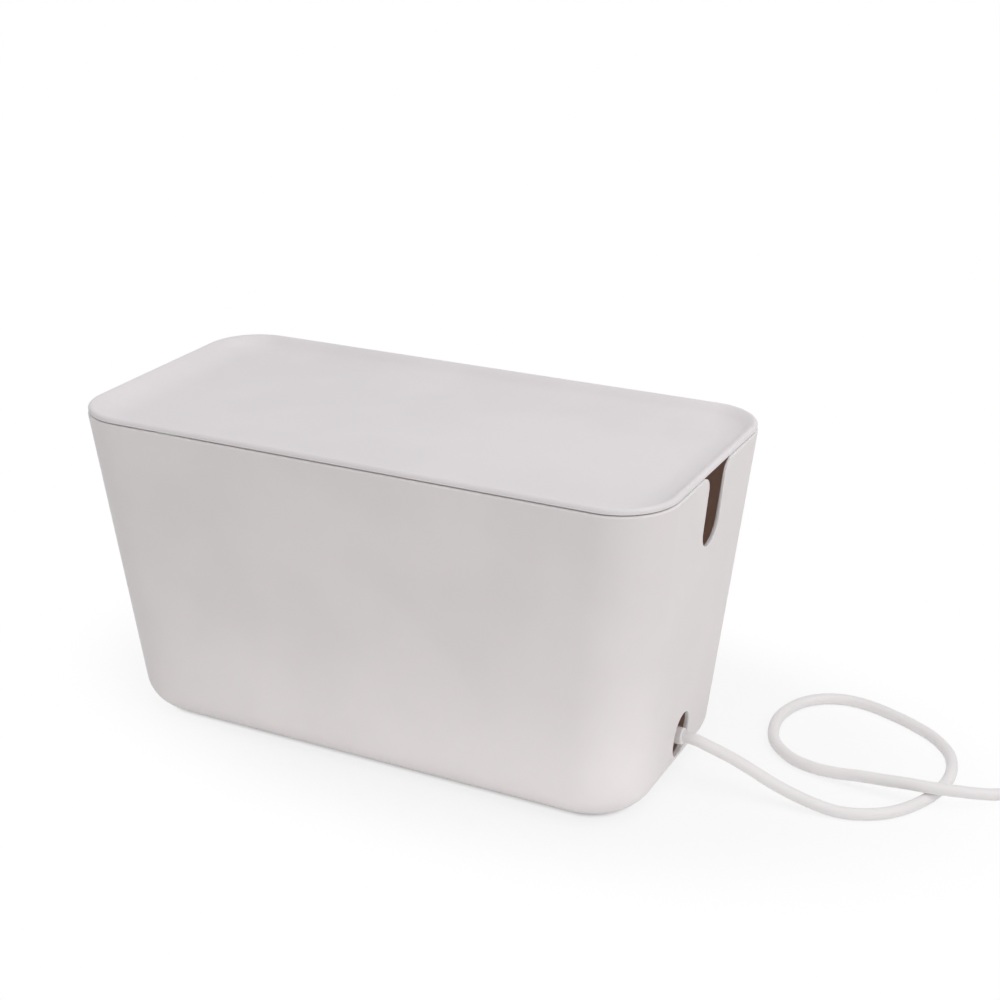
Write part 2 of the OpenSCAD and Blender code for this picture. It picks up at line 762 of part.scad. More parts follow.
module plug_body() {
    r = plug_corner_r;
    color("white") in_plug() {
        rotate([0, 90, 0]) cylinder(d1 = plug_boot_tip_d, d2 = plug_boot_root_d, h = plug_boot_l);
        translate([plug_boot_l, 0, 0]) rotate([90, 0, 90])
            linear_extrude(plug_l) union() {
                square([plug_w - 2 * r, plug_h], center = true);
                square([plug_w, plug_h - 2 * r], center = true);
                for (sy = [-1, 1], sz = [-1, 1])
                    translate([sy * (plug_w / 2 - r), sz * (plug_h / 2 - r)]) circle(r);
            }
    }
}

module blade(s) {
    color("silver") in_plug()
        translate([face_x, s * blade_gap / 2 - blade_t / 2, blade_z - blade_h / 2])
            difference() {
                cube([blade_l, blade_t, blade_h]);
                translate([blade_l - blade_eye_x, -through, blade_h / 2]) rotate([-90, 0, 0])
                    cylinder(d = blade_eye_d, h = blade_t + 2 * through);
            }
}

module live_blade() { blade(1); }
module neutral_blade() { blade(-1); }

module earth_pin() {
    color("silver") in_plug()
        translate([face_x, 0, blade_z - earth_gap]) rotate([0, 90, 0]) {
            cylinder(d = earth_d, h = pin_l - pin_tip_l);
            translate([0, 0, pin_l - pin_tip_l]) cylinder(d1 = earth_d, d2 = pin_tip_d, h = pin_tip_l);
        }
}

tub();
lid();
foot_front_left();
foot_front_right();
foot_rear_left();
foot_rear_right();
strip_base();
strip_cover();
strip_feet();
housing_screws();
live_busbar();
neutral_busbar();
earth_busbar();
switch_body();
rocker();
switch_terminals();
breaker_body();
breaker_nut();
reset_button();
breaker_terminals();
live_lead();
breaker_lead();
switch_lead();
neutral_lead();
earth_lead();
cord_boot();
cord_run();
cord_coil();
cord_tie();
plug_body();
live_blade();
neutral_blade();
earth_pin();
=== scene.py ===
from math import asin, atan, cos, degrees, hypot, pi, radians, sin, tan

import bmesh
import bpy
from mathutils import Matrix, Vector


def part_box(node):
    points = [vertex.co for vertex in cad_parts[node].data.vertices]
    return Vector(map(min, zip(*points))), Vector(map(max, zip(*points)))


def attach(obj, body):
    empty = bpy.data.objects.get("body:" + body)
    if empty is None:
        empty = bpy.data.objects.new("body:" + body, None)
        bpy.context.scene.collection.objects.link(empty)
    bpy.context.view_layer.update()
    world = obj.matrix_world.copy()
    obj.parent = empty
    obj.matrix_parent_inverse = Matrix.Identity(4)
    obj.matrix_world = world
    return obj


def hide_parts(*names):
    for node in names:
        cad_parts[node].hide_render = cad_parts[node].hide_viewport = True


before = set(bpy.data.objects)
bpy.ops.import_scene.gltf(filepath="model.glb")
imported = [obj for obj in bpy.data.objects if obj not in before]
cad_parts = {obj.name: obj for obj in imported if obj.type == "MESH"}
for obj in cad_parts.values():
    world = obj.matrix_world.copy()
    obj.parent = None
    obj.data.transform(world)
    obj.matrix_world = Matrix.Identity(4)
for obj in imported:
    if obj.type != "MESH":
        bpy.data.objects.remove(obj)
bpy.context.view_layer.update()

# A cable management box: a white tub with leaning walls, a lift-off tray lid, and a power strip
# inside whose cord leaves by a port in the end wall. Everything is in metres.
MM = 0.001

# ---------------- driving sizes
LENGTH, WIDTH, HEIGHT = 440 * MM, 220 * MM, 238 * MM      # over the rim
LEAN = 21.5 * MM                                          # each wall, from base to rim
WALL = 2 * MM
RIM_CORNER, BASE_CORNER = 41 * MM, 44 * MM                # plan radius of the upright corners
BASE_EDGE = 25 * MM                                       # rounding round the base
FOOT_GAP = 1.2 * MM                                       # the feet hold the base off the floor
CORNER_STEPS, BASE_STEPS = 20, 12                         # of each upright corner, and up the base's rounding

TUB_EDGE_ROUND = 1.8 * MM                                 # the tub's upper outer edge
TUB_EDGE_EASE = 0.2 * MM                                  # and its upper inner edge

LID_EDGE = 4.4 * MM
LID_FOOT_ROUND = 1.0 * MM                                 # the lower outer edge of the lid
LID_GAP = 0.5 * MM                                        # the shadow line between lid and tub
LID_INSET = 0.8 * MM                                      # the lid's edge sits in from the tub's
RIM_ROUND = 2.2 * MM
CREST_W = 0.3 * MM                                        # level crest between its two roundings
RIM_W = 7 * MM
TRAY_DEPTH, TRAY_SWEEP = 10 * MM, 22 * MM
SHOULDER_A = 25                                           # degrees of the sweep that the soft shoulder takes
LID_WALL = 2.4 * MM
SEAT_EASE = 0.2 * MM                                      # where the lid's level edge meets the tray below
SWEEP_STEPS, SHOULDER_STEPS, RIM_STEPS = 18, 10, 8

SLOT_W, SLOT_DEPTH, SLOT_FLARE = 29.5 * MM, 55.2 * MM, 11 * MM
PORT_W, PORT_STRAIGHT, PORT_Z = 27 * MM, 6 * MM, 35.5 * MM
OPENING_ROUND, OPENING_EASE = 0.6 * MM, 0.3 * MM          # their outer and inner edges
OPENING_STEPS = 28                                        # of each half round
OUTSIDE, INSIDE = 5 * MM, 40 * MM                         # how far their cutters reach past the wall
LIP_W, LIP_T = 3 * MM, 1 * MM                             # the lip inside, round each opening
LIP_ROOT, LIP_EASE, LIP_SIDE = 0.5 * MM, 0.3 * MM, 0.7    # sunk in the wall; the slope above its upright side
LIP_FADE_T = 0.1 * MM                                     # the slot's lip fades out towards the rim
PORT_SILL_T = 2.4 * MM                                    # the lip's thickness under the port
FOOT_D, FOOT_RECESS, FOOT_EDGE = 16 * MM, 0.8 * MM, 22 * MM
FOOT_FIT = 0.15 * MM                                      # room round a pad in its recess

CORD_D = 8.2 * MM
CORD_R = CORD_D / 2
BOOT_L = 37 * MM
BOOT_ROOT_R, BOOT_TIP_R = 6.7 * MM, 5.9 * MM
FLANGE_R, FLANGE_T = 8.7 * MM, 2 * MM
COIL_CENTRE = Vector((493, 85, 0)) * MM
COIL_MID_R = 49.1 * MM
TURN_PITCH = 8.3 * MM                                     # from one turn to the next, beside or above it
PLUG_LEAD = 26 * MM                                       # straight cord from the coil to the plug
PLUG_BOOT_L, PLUG_L = 28 * MM, 36 * MM
PLUG_W, PLUG_CORNER = 25 * MM, 8 * MM
BLADE_L, BLADE_T, BLADE_H = 17.5 * MM, 1.5 * MM, 6.35 * MM
BLADE_GAP, EARTH_GAP = 12.7 * MM, 11.9 * MM               # between the blades, and from them to the pin
EARTH_D = 4.8 * MM
TIE_W, TIE_T = 14 * MM, 1 * MM

STRIP_WALL, STRIP_R, COVER_T = 2.2 * MM, 7 * MM, 2.4 * MM
COVER_FOOT, COVER_ROUND, COVER_INNER = 0.3 * MM, 3 * MM, 1.5 * MM     # roundings of the cover's edges
OUTLETS, OUTLET_PITCH, FIRST_OUTLET = 6, 38 * MM, 84 * MM             # from the strip's cord end
OUTLET_FACE_R, OUTLET_SINK = 16.5 * MM, 0.8 * MM
BLADES_OFF = 4 * MM                                       # from an outlet's middle to its blade slots
BLADE_SLOT_L, BLADE_SLOT_W, NEUTRAL_MORE = 8 * MM, 2 * MM, 0.6 * MM
EARTH_HOLE_R, CORD_HOLE_R = 2.7 * MM, 5.8 * MM
HOLE_DEPTH, PART_FIT = 5 * MM, 0.2 * MM                   # of the cover's holes, and the room round a part
SWITCH_AT, BREAKER_AT = 26 * MM, 51 * MM                  # from the strip's cord end
SWITCH_CORNER, BEZEL_CORNER, BEZEL_ROUND = 0.6 * MM, 1.6 * MM, 0.9 * MM
BEZEL_W, BEZEL_T, BEZEL_SIDE, BEZEL_END = 15 * MM, 2 * MM, 1.2 * MM, 1.5 * MM     # it laps over the cover
ROCKER_R, ROCKER_TILT = 7.4 * MM, 8                       # degrees, at rest
ROCKER_ENDS, ROCKER_VALLEY = 0.5 * MM, 4.4 * MM           # its ends in from the drum; valley over the axle
POCKET_GAP, POCKET_END, POCKET_SIDE = 0.4 * MM, 1.7 * MM, 1.8 * MM
PIVOT_DROP = 2.6 * MM                                     # the rocker's axle below the cover's top
NUT_AF, NUT_FIT, NECK_R = 14 * MM, 0.05 * MM, 5.5 * MM
BUTTON_ROUND = 0.6 * MM

CLEAR = 2 * MM                                            # how far a cutter stands out of a face
SHARP_A = 40                                              # degrees: a sharper bend than this is an edge

SEAM_Z = HEIGHT - LID_EDGE
LEAN_A = atan(LEAN / HEIGHT)
EDGE_Z = FOOT_GAP + BASE_EDGE                             # centre of the base's rounding
QUARTER = [radians(a) for a in range(0, 91, 15)]          # the steps of a small rounding
COARSE_QUARTER = (0, pi / 6, pi / 3, pi / 2)              # and of a smaller one


# ---------------- small helpers
def colour(code):
    """An sRGB hex value as the linear colour that shaders take."""
    channels = [int(code[i:i + 2], 16) / 255 for i in (1, 3, 5)]
    return [c / 12.92 if c <= 0.04045 else ((c + 0.055) / 1.055) ** 2.4 for c in channels] + [1]


def add(tree, kind, inputs=None, **settings):
    """Adds a node, sets its properties, and fills its inputs with values or other nodes' outputs."""
    node = tree.nodes.new(kind)
    for name, value in settings.items():
        setattr(node, name, value)
    for name, value in (inputs or {}).items():
        if isinstance(value, bpy.types.NodeSocket):
            tree.links.new(value, node.inputs[name])
        else:
            node.inputs[name].default_value = value
    return node


def new_object(name, data):
    """An object in the scene that shows a mesh, curve, light or camera."""
    obj = bpy.data.objects.new(name, data)
    bpy.context.scene.collection.objects.link(obj)
    return obj


def mesh_object(name, bm, material, smooth=True):
    """Turns a bmesh into an object with outward faces and one material."""
    bmesh.ops.recalc_face_normals(bm, faces=bm.faces)
    for face in bm.faces:
        face.smooth = smooth
    mesh = bpy.data.meshes.new(name)
    bm.to_mesh(mesh)
    bm.free()
    mesh.materials.append(material)
    return new_object(name, mesh)


def even_shading(obj):
    """Lets large faces shade flat and takes the bend up in the roundings between them."""
    normals = obj.modifiers.new("flat faces stay flat", "WEIGHTED_NORMAL")
    normals.keep_sharp = True


def soften(obj, width, segments=3, angle=SHARP_A):
    """Rounds the edges that are sharper than an angle, and keeps flat faces shading flat."""
    bevel = obj.modifiers.new("rounded edges", "BEVEL")
    bevel.width = width
    bevel.segments = segments
    bevel.limit_method = "ANGLE"
    bevel.angle_limit = radians(angle)
    bevel.miter_outer = "MITER_ARC"
    even_shading(obj)


def belongs(obj, body, slot, *nodes):
    """Says which body carries a piece and the CAD nodes it stands for; the material slot it is given is not
    used.
    """
    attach(obj, body)
    if nodes:
        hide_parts(*nodes)


def loft(bm, rings):
    """Faces between neighbouring rings of points, with a flat cap on the first and the last."""
    loops = [[bm.verts.new(point) for point in ring] for ring in rings]
    for low, high in zip(loops, loops[1:]):
        for i in range(len(low)):
            j = (i + 1) % len(low)
            bm.faces.new((low[i], low[j], high[j], high[i]))
    bm.faces.new(loops[0])
    bm.faces.new(loops[-1])


def arc(centre, radius, start, end, steps):
    """Points along an arc in a plane, angles in degrees."""
    turns = [radians(start + (end - start) * k / steps) for k in range(steps + 1)]
    return [(centre[0] + radius * cos(a), centre[1] + radius * sin(a)) for a in turns]


def circle(centre, radius, sides=48):
    """Points round a circle in a plane."""
    return arc(centre, radius, 0, 360, sides)[:-1]


def oblong(x0, x1, y0, y1):
    """The corners of a rectangle in a plane."""
    return [(x0, y0), (x1, y0), (x1, y1), (x0, y1)]


def column(bm, outline, low, high):
    """An upright block with an outline in x and y, from z = low to z = high."""
    loft(bm, [[Vector((x, y, z)) for x, y in outline] for z in (low, high)])


def block_ring(low, high, radius, z, inset=0):
    """A ring round a rectangle with round corners, at height z, moved in by inset."""
    points = []
    for quarter, (x, y, sx, sy) in enumerate(((high.x, high.y, -1, -1), (low.x, high.y, 1, -1),
                                              (low.x, low.y, 1, 1), (high.x, low.y, -1, 1))):
        middle = (x + sx * radius, y + sy * radius)
        points += arc(middle, radius - inset, 90 * quarter, 90 * quarter + 90, 8)
    return [Vector((x, y, z)) for x, y in points]


def block_rings(low, high, radius, foot_round, head_round):
    """Rings round an upright block from its foot to its head, with both edges rounded."""
    pairs = [(low.z + foot_round * (1 - cos(t)), foot_round * (1 - sin(t)))
             for t in QUARTER[0 if foot_round else -1:]]
    pairs += [(high.z - head_round * (1 - sin(t)), head_round * (1 - cos(t)))
              for t in QUARTER[:None if head_round else 1]]
    return [block_ring(low, high, radius, z, inset) for z, inset in pairs]


def turned(bm, profile, place, sides=64):
    """A solid of revolution about the local x axis, from (x, radius) pairs."""
    rings = []
    for x, r in profile:
        ring = [Vector((x, r * cos(2 * pi * k / sides), r * sin(2 * pi * k / sides))) for k in range(sides)]
        rings.append([place @ p for p in ring])
    loft(bm, rings)


# ---------------- camera
CAMERA_PLACE = (0.5814, -1.0578, 0.6576)
CAMERA_YAW, CAMERA_DOWN, CAMERA_ROLL = 27.754, 21.954, -0.402         # degrees
SENSOR_W, FOCAL_LENGTH, SHIFT_X = 36, 66.71, 0.05                     # millimetres, and a share of the width
camera_data = bpy.data.cameras.new("camera")
camera_data.sensor_width = SENSOR_W
camera_data.lens = FOCAL_LENGTH
camera_data.shift_x = SHIFT_X
camera = new_object("camera", camera_data)
turn = (Matrix.Rotation(radians(CAMERA_YAW), 4, "Z") @ Matrix.Rotation(radians(90 - CAMERA_DOWN), 4, "X")
        @ Matrix.Rotation(radians(CAMERA_ROLL), 4, "Z"))
camera.matrix_world = Matrix.Translation(CAMERA_PLACE) @ turn
bpy.context.scene.camera = camera


# ---------------- the cord's line
boot_low, boot_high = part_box("cord_boot")
BOOT_TIP = Vector((boot_high.x, (boot_low.y + boot_high.y) / 2, (boot_low.z + boot_high.z) / 2))

# The route from the boot to the coil, in millimetres: x, y, and how far the cord is off the floor.
ROUTE = [
    (212, 4, 27.2), (220, 4, 25), (236, 3.5, 20.8), (252, 2.5, 15.5), (267, 1.5, 10),
    (282, 1, 5.5), (298, 1, 2), (313, 2, 0), (328, 6, 0), (342, 15, 0),
    (354, 30, 0), (364, 53, 0), (368, 81, 0), (362, 108, 0), (347, 128, 0),
    (328, 141, 0), (309, 150, 0), (291, 156, 0), (273, 157, 0), (256, 150, 0),
    (243, 134, 0), (237, 107, 0), (244, 77, 0), (261, 58, 0), (279, 50, 0.5),
    (297, 47, 2), (314, 46, 4.5), (331, 45, 6.5), (347, 45, 8), (363, 46, 8.5),
    (379, 51, 7.5), (393, 59, 5), (405, 69, 2.5), (421, 86, 0.5), (438, 103, 0)]

# The coil, in degrees round it.
COIL_START, COIL_TURN = 140, 1250       # where the first turn begins, and how far round the coil goes
COIL_STEP = 20                          # from one point of its line to the next
STEP_IN, STEP_UP, STEP_OUT = (300, 360), (610, 690), (940, 1000)      # where the turns change place
TIE_ANGLE = 60                          # where the strap sits
TIE_NEAR, TIE_FAR = 8, 34               # on each side of it: lifted by it in full, and not at all
LINE_STEPS = 8                          # of a bar, between two points of its line and round half of it


def smooth_step(x, low, high):
    """0 below low, 1 above high, and a soft rise between them."""
    t = min(1, max(0, (x - low) / (high - low)))
    return t * t * (3 - 2 * t)


def coil_point(turned_by):
    """The cord's line after turning so many degrees round the coil: two turns below, two above."""
    inner = smooth_step(turned_by, *STEP_IN) - smooth_step(turned_by, *STEP_OUT)
    upper = smooth_step(turned_by, *STEP_UP)
    a = radians(COIL_START - turned_by)
    r = COIL_MID_R + TURN_PITCH * (0.5 - inner)
    # the strap passes under the bundle, which lifts the turns a little there
    off = (COIL_START - turned_by - TIE_ANGLE + 180) % 360 - 180
    over_strap = TIE_T * (1 - smooth_step(abs(off), TIE_NEAR, TIE_FAR))
    return COIL_CENTRE + Vector((r * cos(a), r * sin(a), CORD_R + TURN_PITCH * upper + over_strap))


LEAVE_A = radians(COIL_START - COIL_TURN)
LEAVE_HEADING = Vector((sin(LEAVE_A), -cos(LEAVE_A), 0))
PLUG_START = coil_point(COIL_TURN) + PLUG_LEAD * LEAVE_HEADING


def cord_line():
    """The cord's whole line: out of the boot, along the route, round the coil and into the plug."""
    points = [BOOT_TIP]
    points += [Vector((x, y, lift)) * MM + Vector((0, 0, CORD_R)) for x, y, lift in ROUTE]
    points += [coil_point(a) for a in range(0, COIL_TURN - COIL_STEP // 2, COIL_STEP)]
    return points + [coil_point(COIL_TURN), PLUG_START]


def line_object(name, points, radius, material):
    """A round bar along one smooth curve through the points."""
    data = bpy.data.curves.new(name, "CURVE")
    data.dimensions = "3D"
    data.resolution_u = data.bevel_resolution = LINE_STEPS
    data.bevel_depth = radius
    data.use_fill_caps = True
    spline = data.splines.new("BEZIER")
    spline.bezier_points.add(len(points) - 1)
    for i, (knot, point) in enumerate(zip(spline.bezier_points, points)):
        # each handle is a sixth of the line between the two neighbours, which keeps the curve smooth
        handle = (points[min(i + 1, len(points) - 1)] - points[max(i - 1, 0)]) / 6
        knot.handle_left_type = knot.handle_right_type = "FREE"
        knot.co = point
        knot.handle_left = point - handle
        knot.handle_right = point + handle
    data.materials.append(material)
    return new_object(name, data)


# ---------------- materials
FLOW_SIZE = 90 * MM                     # how far the sheen of moulded plastic takes to change
TINT_BAND, SHEEN_BAND = (0.35, 0.65), (0.3, 0.7)          # the part of a noise's range that counts
SOAK_DEPTH = 3 * MM                     # how far light goes in white plastic
WARM_SPREAD = (1.0, 0.5, 0.35)          # of which red goes furthest
EVEN_SPREAD = (1.0, 0.95, 0.93)         # of thick white plastic, which no colour leaves first


def blank(name):
    """A new material, with its node tree and its surface shader."""
    material = bpy.data.materials.new(name)
    material.use_nodes = True
    tree = material.node_tree
    return material, tree, tree.nodes["Principled BSDF"]


def grained(name, code, rough, grain, relief, mottle=0.02, rough_play=0.05, ior=1.5, glow=0,
            spread=WARM_SPREAD):
    """Moulded plastic: an even colour, a spark-eroded grain of so many metres, and a matt sheen
    that wanders slightly, as it does where the melt flowed. Glow is how much light soaks in, and
    spread how far its red, green and blue go."""
    material, tree, shader = blank(name)
    place = add(tree, "ShaderNodeTexCoord").outputs["Object"]
    flow = add(tree, "ShaderNodeTexNoise", {"Vector": place, "Scale": 1 / FLOW_SIZE, "Detail": 2.0})
    base = colour(code)
    pale = [min(1, c * (1 + mottle)) for c in base[:3]] + [1]
    deep = [c * (1 - mottle) for c in base[:3]] + [1]
    tint = add(tree, "ShaderNodeValToRGB", {"Fac": flow.outputs["Fac"]})
    tint.color_ramp.interpolation = "EASE"
    for stop, position, shade in zip(tint.color_ramp.elements, TINT_BAND, (deep, pale)):
        stop.position, stop.color = position, shade
    sheen = add(tree, "ShaderNodeMapRange", {
        "Value": flow.outputs["Fac"], "From Min": SHEEN_BAND[0], "From Max": SHEEN_BAND[1],
        "To Min": rough - rough_play, "To Max": rough + rough_play}, interpolation_type="SMOOTHSTEP")
    grit = add(tree, "ShaderNodeTexNoise", {"Vector": place, "Scale": 1 / grain, "Detail": 3.0})
    bump = add(tree, "ShaderNodeBump", {"Height": grit.outputs["Fac"], "Distance": relief, "Strength": 1.0})
    tree.links.new(tint.outputs["Color"], shader.inputs["Base Color"])
    tree.links.new(sheen.outputs["Result"], shader.inputs["Roughness"])
    tree.links.new(bump.outputs["Normal"], shader.inputs["Normal"])
    shader.inputs["IOR"].default_value = ior
    shader.inputs["Subsurface Weight"].default_value = glow
    shader.inputs["Subsurface Radius"].default_value = spread
    shader.inputs["Subsurface Scale"].default_value = SOAK_DEPTH
    return material


def drawn_metal(name, code, rough, line, relief, stretch=0.08):
    """Rolled or turned metal: an even colour under fine lines of so many metres that run one way.
    Stretch is the share of the pattern's fineness that is left along them."""
    material, tree, shader = blank(name)
    place = add(tree, "ShaderNodeTexCoord").outputs["Object"]
    along = add(tree, "ShaderNodeMapping", {"Vector": place, "Scale": (stretch, 1.0, 1.0)})
    lines = add(tree, "ShaderNodeTexNoise", {
        "Vector": along.outputs["Vector"], "Scale": 1 / line, "Detail": 3.0})
    sheen = add(tree, "ShaderNodeMapRange", {
        "Value": lines.outputs["Fac"], "From Min": SHEEN_BAND[0], "From Max": SHEEN_BAND[1],
        "To Min": rough * 0.8, "To Max": rough * 1.25})
    bump = add(tree, "ShaderNodeBump", {"Height": lines.outputs["Fac"], "Distance": relief, "Strength": 1.0})
    tree.links.new(sheen.outputs["Result"], shader.inputs["Roughness"])
    tree.links.new(bump.outputs["Normal"], shader.inputs["Normal"])
    shader.inputs["Base Color"].default_value = colour(code)
    shader.inputs["Metallic"].default_value = 1.0
    return material


def loop_tape(name, code, pitch, relief, loop_painted_highlight=1.9, gap_painted_shade=0.5):
    """Woven nylon loop tape: its colour is painted paler on the loops and darker between them, in step with
    their relief and at shares of the colour, as a painted highlight on the loops and painted shade between
    them. The loops are drawn twice as coarse as the real 0.4 mm so that they show."""
    material, tree, shader = blank(name)
    place = add(tree, "ShaderNodeTexCoord").outputs["Object"]
    loops = add(tree, "ShaderNodeTexVoronoi", {"Vector": place, "Scale": 1 / pitch})
    tint = add(tree, "ShaderNodeValToRGB", {"Fac": loops.outputs["Distance"]})
    base = colour(code)
    # painted highlight on the loops' tops and painted shade in the gaps, following the same pattern as the
    # bump
    tint.color_ramp.elements[0].color = [min(1, c * loop_painted_highlight) for c in base[:3]] + [1]
    tint.color_ramp.elements[1].color = [c * gap_painted_shade for c in base[:3]] + [1]
    bump = add(tree, "ShaderNodeBump", {
        "Height": loops.outputs["Distance"], "Distance": relief, "Strength": 1.0}, invert=True)
    tree.links.new(tint.outputs["Color"], shader.inputs["Base Color"])
    tree.links.new(bump.outputs["Normal"], shader.inputs["Normal"])
    shader.inputs["Roughness"].default_value = 0.9
    shader.inputs["Sheen Weight"].default_value = 0.4
    shader.inputs["IOR"].default_value = 1.53
    return material


# polypropylene, injection moulded against a spark-eroded steel: even, matt, a touch warm
tub_plastic = grained("moulded polypropylene, tub", "#EDE7E7", 0.5, 1.1 * MM, 0.012 * MM, glow=0.06)
lid_plastic = grained("moulded polypropylene, lid", "#EDE8EA", 0.48, 1.1 * MM, 0.010 * MM, glow=0.06)
# the same polypropylene on the tub's inside, tinted warmer than the outside and given a painted glow: a dim
# warm emission that stands in for daylight soaking through the wall, paler towards the floor of the box
inner_plastic_painted_glow = grained("moulded polypropylene, inner face", "#F0E6DF", 0.55, 1.1 * MM, 0.012 * MM)
PAINTED_GLOW_COLOURS, PAINTED_GLOW_HEIGHTS = ("#B8917C", "#C49E8E"), (170 * MM, 60 * MM)
PAINTED_GLOW_STRENGTH = 0.042


def add_painted_inner_glow():
    """The painted glow on the tub's inside, an emission that stands in for light through the wall, from its
    upper colour and height to its lower ones.
    """
    tree = inner_plastic_painted_glow.node_tree
    shader = tree.nodes["Principled BSDF"]
    place = add(tree, "ShaderNodeTexCoord").outputs["Object"]
    height = add(tree, "ShaderNodeSeparateXYZ", {"Vector": place}).outputs["Z"]
    depth = add(tree, "ShaderNodeMapRange", {
        "Value": height, "From Min": PAINTED_GLOW_HEIGHTS[0], "From Max": PAINTED_GLOW_HEIGHTS[1]})
    # painted glow: a warm emission that fades from the upper colour to the lower one
    glow = add(tree, "ShaderNodeValToRGB", {"Fac": depth.outputs["Result"]})
    for stop, code in zip(glow.color_ramp.elements, PAINTED_GLOW_COLOURS):
        stop.color = colour(code)
    tree.links.new(glow.outputs["Color"], shader.inputs["Emission Color"])
    shader.inputs["Emission Strength"].default_value = PAINTED_GLOW_STRENGTH


add_painted_inner_glow()
# and on the edges of the tub's rim and openings: a colour painted paler than the tub's as a painted
# highlight, with real light that soaked into the wall coming out again
edge_plastic_painted_paler = grained("moulded polypropylene, edges, painted paler", "#F3EFEF", 0.5, 1.1 * MM, 0.012 * MM, glow=0.7,
                       spread=EVEN_SPREAD)
# flexible PVC, extruded round the cores: satin, with a faint pull along it
cord_pvc = grained("extruded flexible PVC", "#F4F1F1", 0.42, 2.2 * MM, 0.02 * MM, glow=0.06)
# the same PVC moulded over the cord: satin, from a polished mould
boot_pvc = grained("overmoulded flexible PVC", "#F4EFEF", 0.4, 1.6 * MM, 0.015 * MM, glow=0.8,
                   spread=EVEN_SPREAD)
# ABS, moulded in a polished steel: clean, glossy, almost neutral
strip_plastic = grained("moulded ABS", "#ECEAE8", 0.28, 1.4 * MM, 0.006 * MM, mottle=0.01, rough_play=0.02,
                        ior=1.53)
# polyamide with a fine grain: black, satin
switch_black = grained("moulded polyamide, black", "#1D1D1F", 0.36, 0.9 * MM, 0.012 * MM, ior=1.53)
# dyed polycarbonate: deep red, glossy
rocker_red = grained("moulded polycarbonate, red", "#B2160F", 0.16, 3 * MM, 0.004 * MM, ior=1.585, glow=0.1)
# acetal, moulded in a polished steel: white, slightly waxy
button_white = grained("moulded acetal, white", "#EAE8E4", 0.3, 1.4 * MM, 0.006 * MM, ior=1.48)
# silicone rubber pads: dull, with a dusty drag in the sheen
foot_rubber = grained("moulded silicone rubber", "#C2C0BC", 0.72, 0.8 * MM, 0.02 * MM, ior=1.41)
# rubber, moulded: dark, dull
strip_foot_rubber = grained("moulded rubber, dark", "#3A3A3B", 0.75, 0.8 * MM, 0.02 * MM, ior=1.52)
# PVC, extruded on the cores of the leads: satin, one colour to a lead
core_black = grained("extruded PVC, black", "#1E1E1F", 0.45, 1.2 * MM, 0.01 * MM)
core_white = grained("extruded PVC, white", "#E6E5E2", 0.45, 1.2 * MM, 0.01 * MM)
core_green = grained("extruded PVC, green", "#22703A", 0.45, 1.2 * MM, 0.01 * MM)
# steel, zinc plated: grey, with turning marks
screw_steel = drawn_metal("zinc plated steel", "#B9BBBD", 0.34, 0.5 * MM, 0.008 * MM)
# brass, rolled: yellow, brushed along; tinned: dull and pale; nickel plated: bright, a touch warm
busbar_brass = drawn_metal("rolled brass", "#C9A85E", 0.3, 0.4 * MM, 0.006 * MM)
terminal_brass = drawn_metal("tinned brass", "#C8C2B4", 0.36, 0.4 * MM, 0.006 * MM)
blade_brass = drawn_metal("nickel plated brass", "#D3CEC4", 0.2, 0.6 * MM, 0.004 * MM)
# nylon, woven and brushed up into loops: dark grey, dull, with a painted highlight on the loops and painted
# shade between them
strap_fabric = loop_tape("nylon loop tape", "#4A4A4D", 0.8 * MM, 0.25 * MM)


def give(material, *nodes):
    """The finish of CAD nodes that stay as they are."""
    for node in nodes:
        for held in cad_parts[node].material_slots:
            held.material = material


give(strip_plastic, "strip_base")
give(strip_foot_rubber, "strip_feet")
give(screw_steel, "housing_screws")
give(busbar_brass, "live_busbar", "neutral_busbar", "earth_busbar")
give(terminal_brass, "switch_terminals", "breaker_terminals")
give(switch_black, "breaker_body")
give(core_black, "live_lead", "breaker_lead", "switch_lead")
give(core_white, "neutral_lead")
give(core_green, "earth_lead")


# ---------------- cord
cord = line_object("mains_cord", cord_line(), CORD_R, cord_pvc)
belongs(cord, "box", "cord_pvc", "cord_run", "cord_coil")


# ---------------- tub
TUB_FINISH, INNER_PAINTED_GLOW, EDGE_PAINTED_PALER = 0, 1, 2           # the places of its materials


def lean_at(z):
    """How far a wall at height z is in from where it is at the rim's top."""
    return LEAN * (1 - z / HEIGHT)


def half_l(z):
    """Half the box's length at height z."""
    return LENGTH / 2 - lean_at(z)


def half_w(z):
    """Half its width."""
    return WIDTH / 2 - lean_at(z)


def corner_r(z):
    """The plan radius of its corners."""
    return RIM_CORNER + (BASE_CORNER - RIM_CORNER) * (1 - z / HEIGHT)


def plan_ring(z, inset):
    """Points round the box's plan at height z, moved in by inset."""
    r = corner_r(z) - inset
    points = []
    for quarter, (sx, sy) in enumerate(((1, 1), (-1, 1), (-1, -1), (1, -1))):
        centre = (sx * (half_l(z) - inset - r), sy * (half_w(z) - inset - r))
        corner = arc(centre, r, 90 * quarter, 90 * quarter + 90, CORNER_STEPS)
        points += [Vector((x, y, z)) for x, y in corner]
    return points


def edge_ring(radius, a):
    """The ring at angle a (radians) up the base's rounding, drawn with a radius."""
    z = EDGE_Z - radius * cos(a)
    inset = half_l(z) - (half_l(EDGE_Z) - BASE_EDGE / cos(LEAN_A) + radius * sin(a))
    return plan_ring(z, inset)


def base_reach():
    """Half the length and half the width of the flat base."""
    ring = edge_ring(BASE_EDGE, 0)
    return max(p.x for p in ring), max(p.y for p in ring)


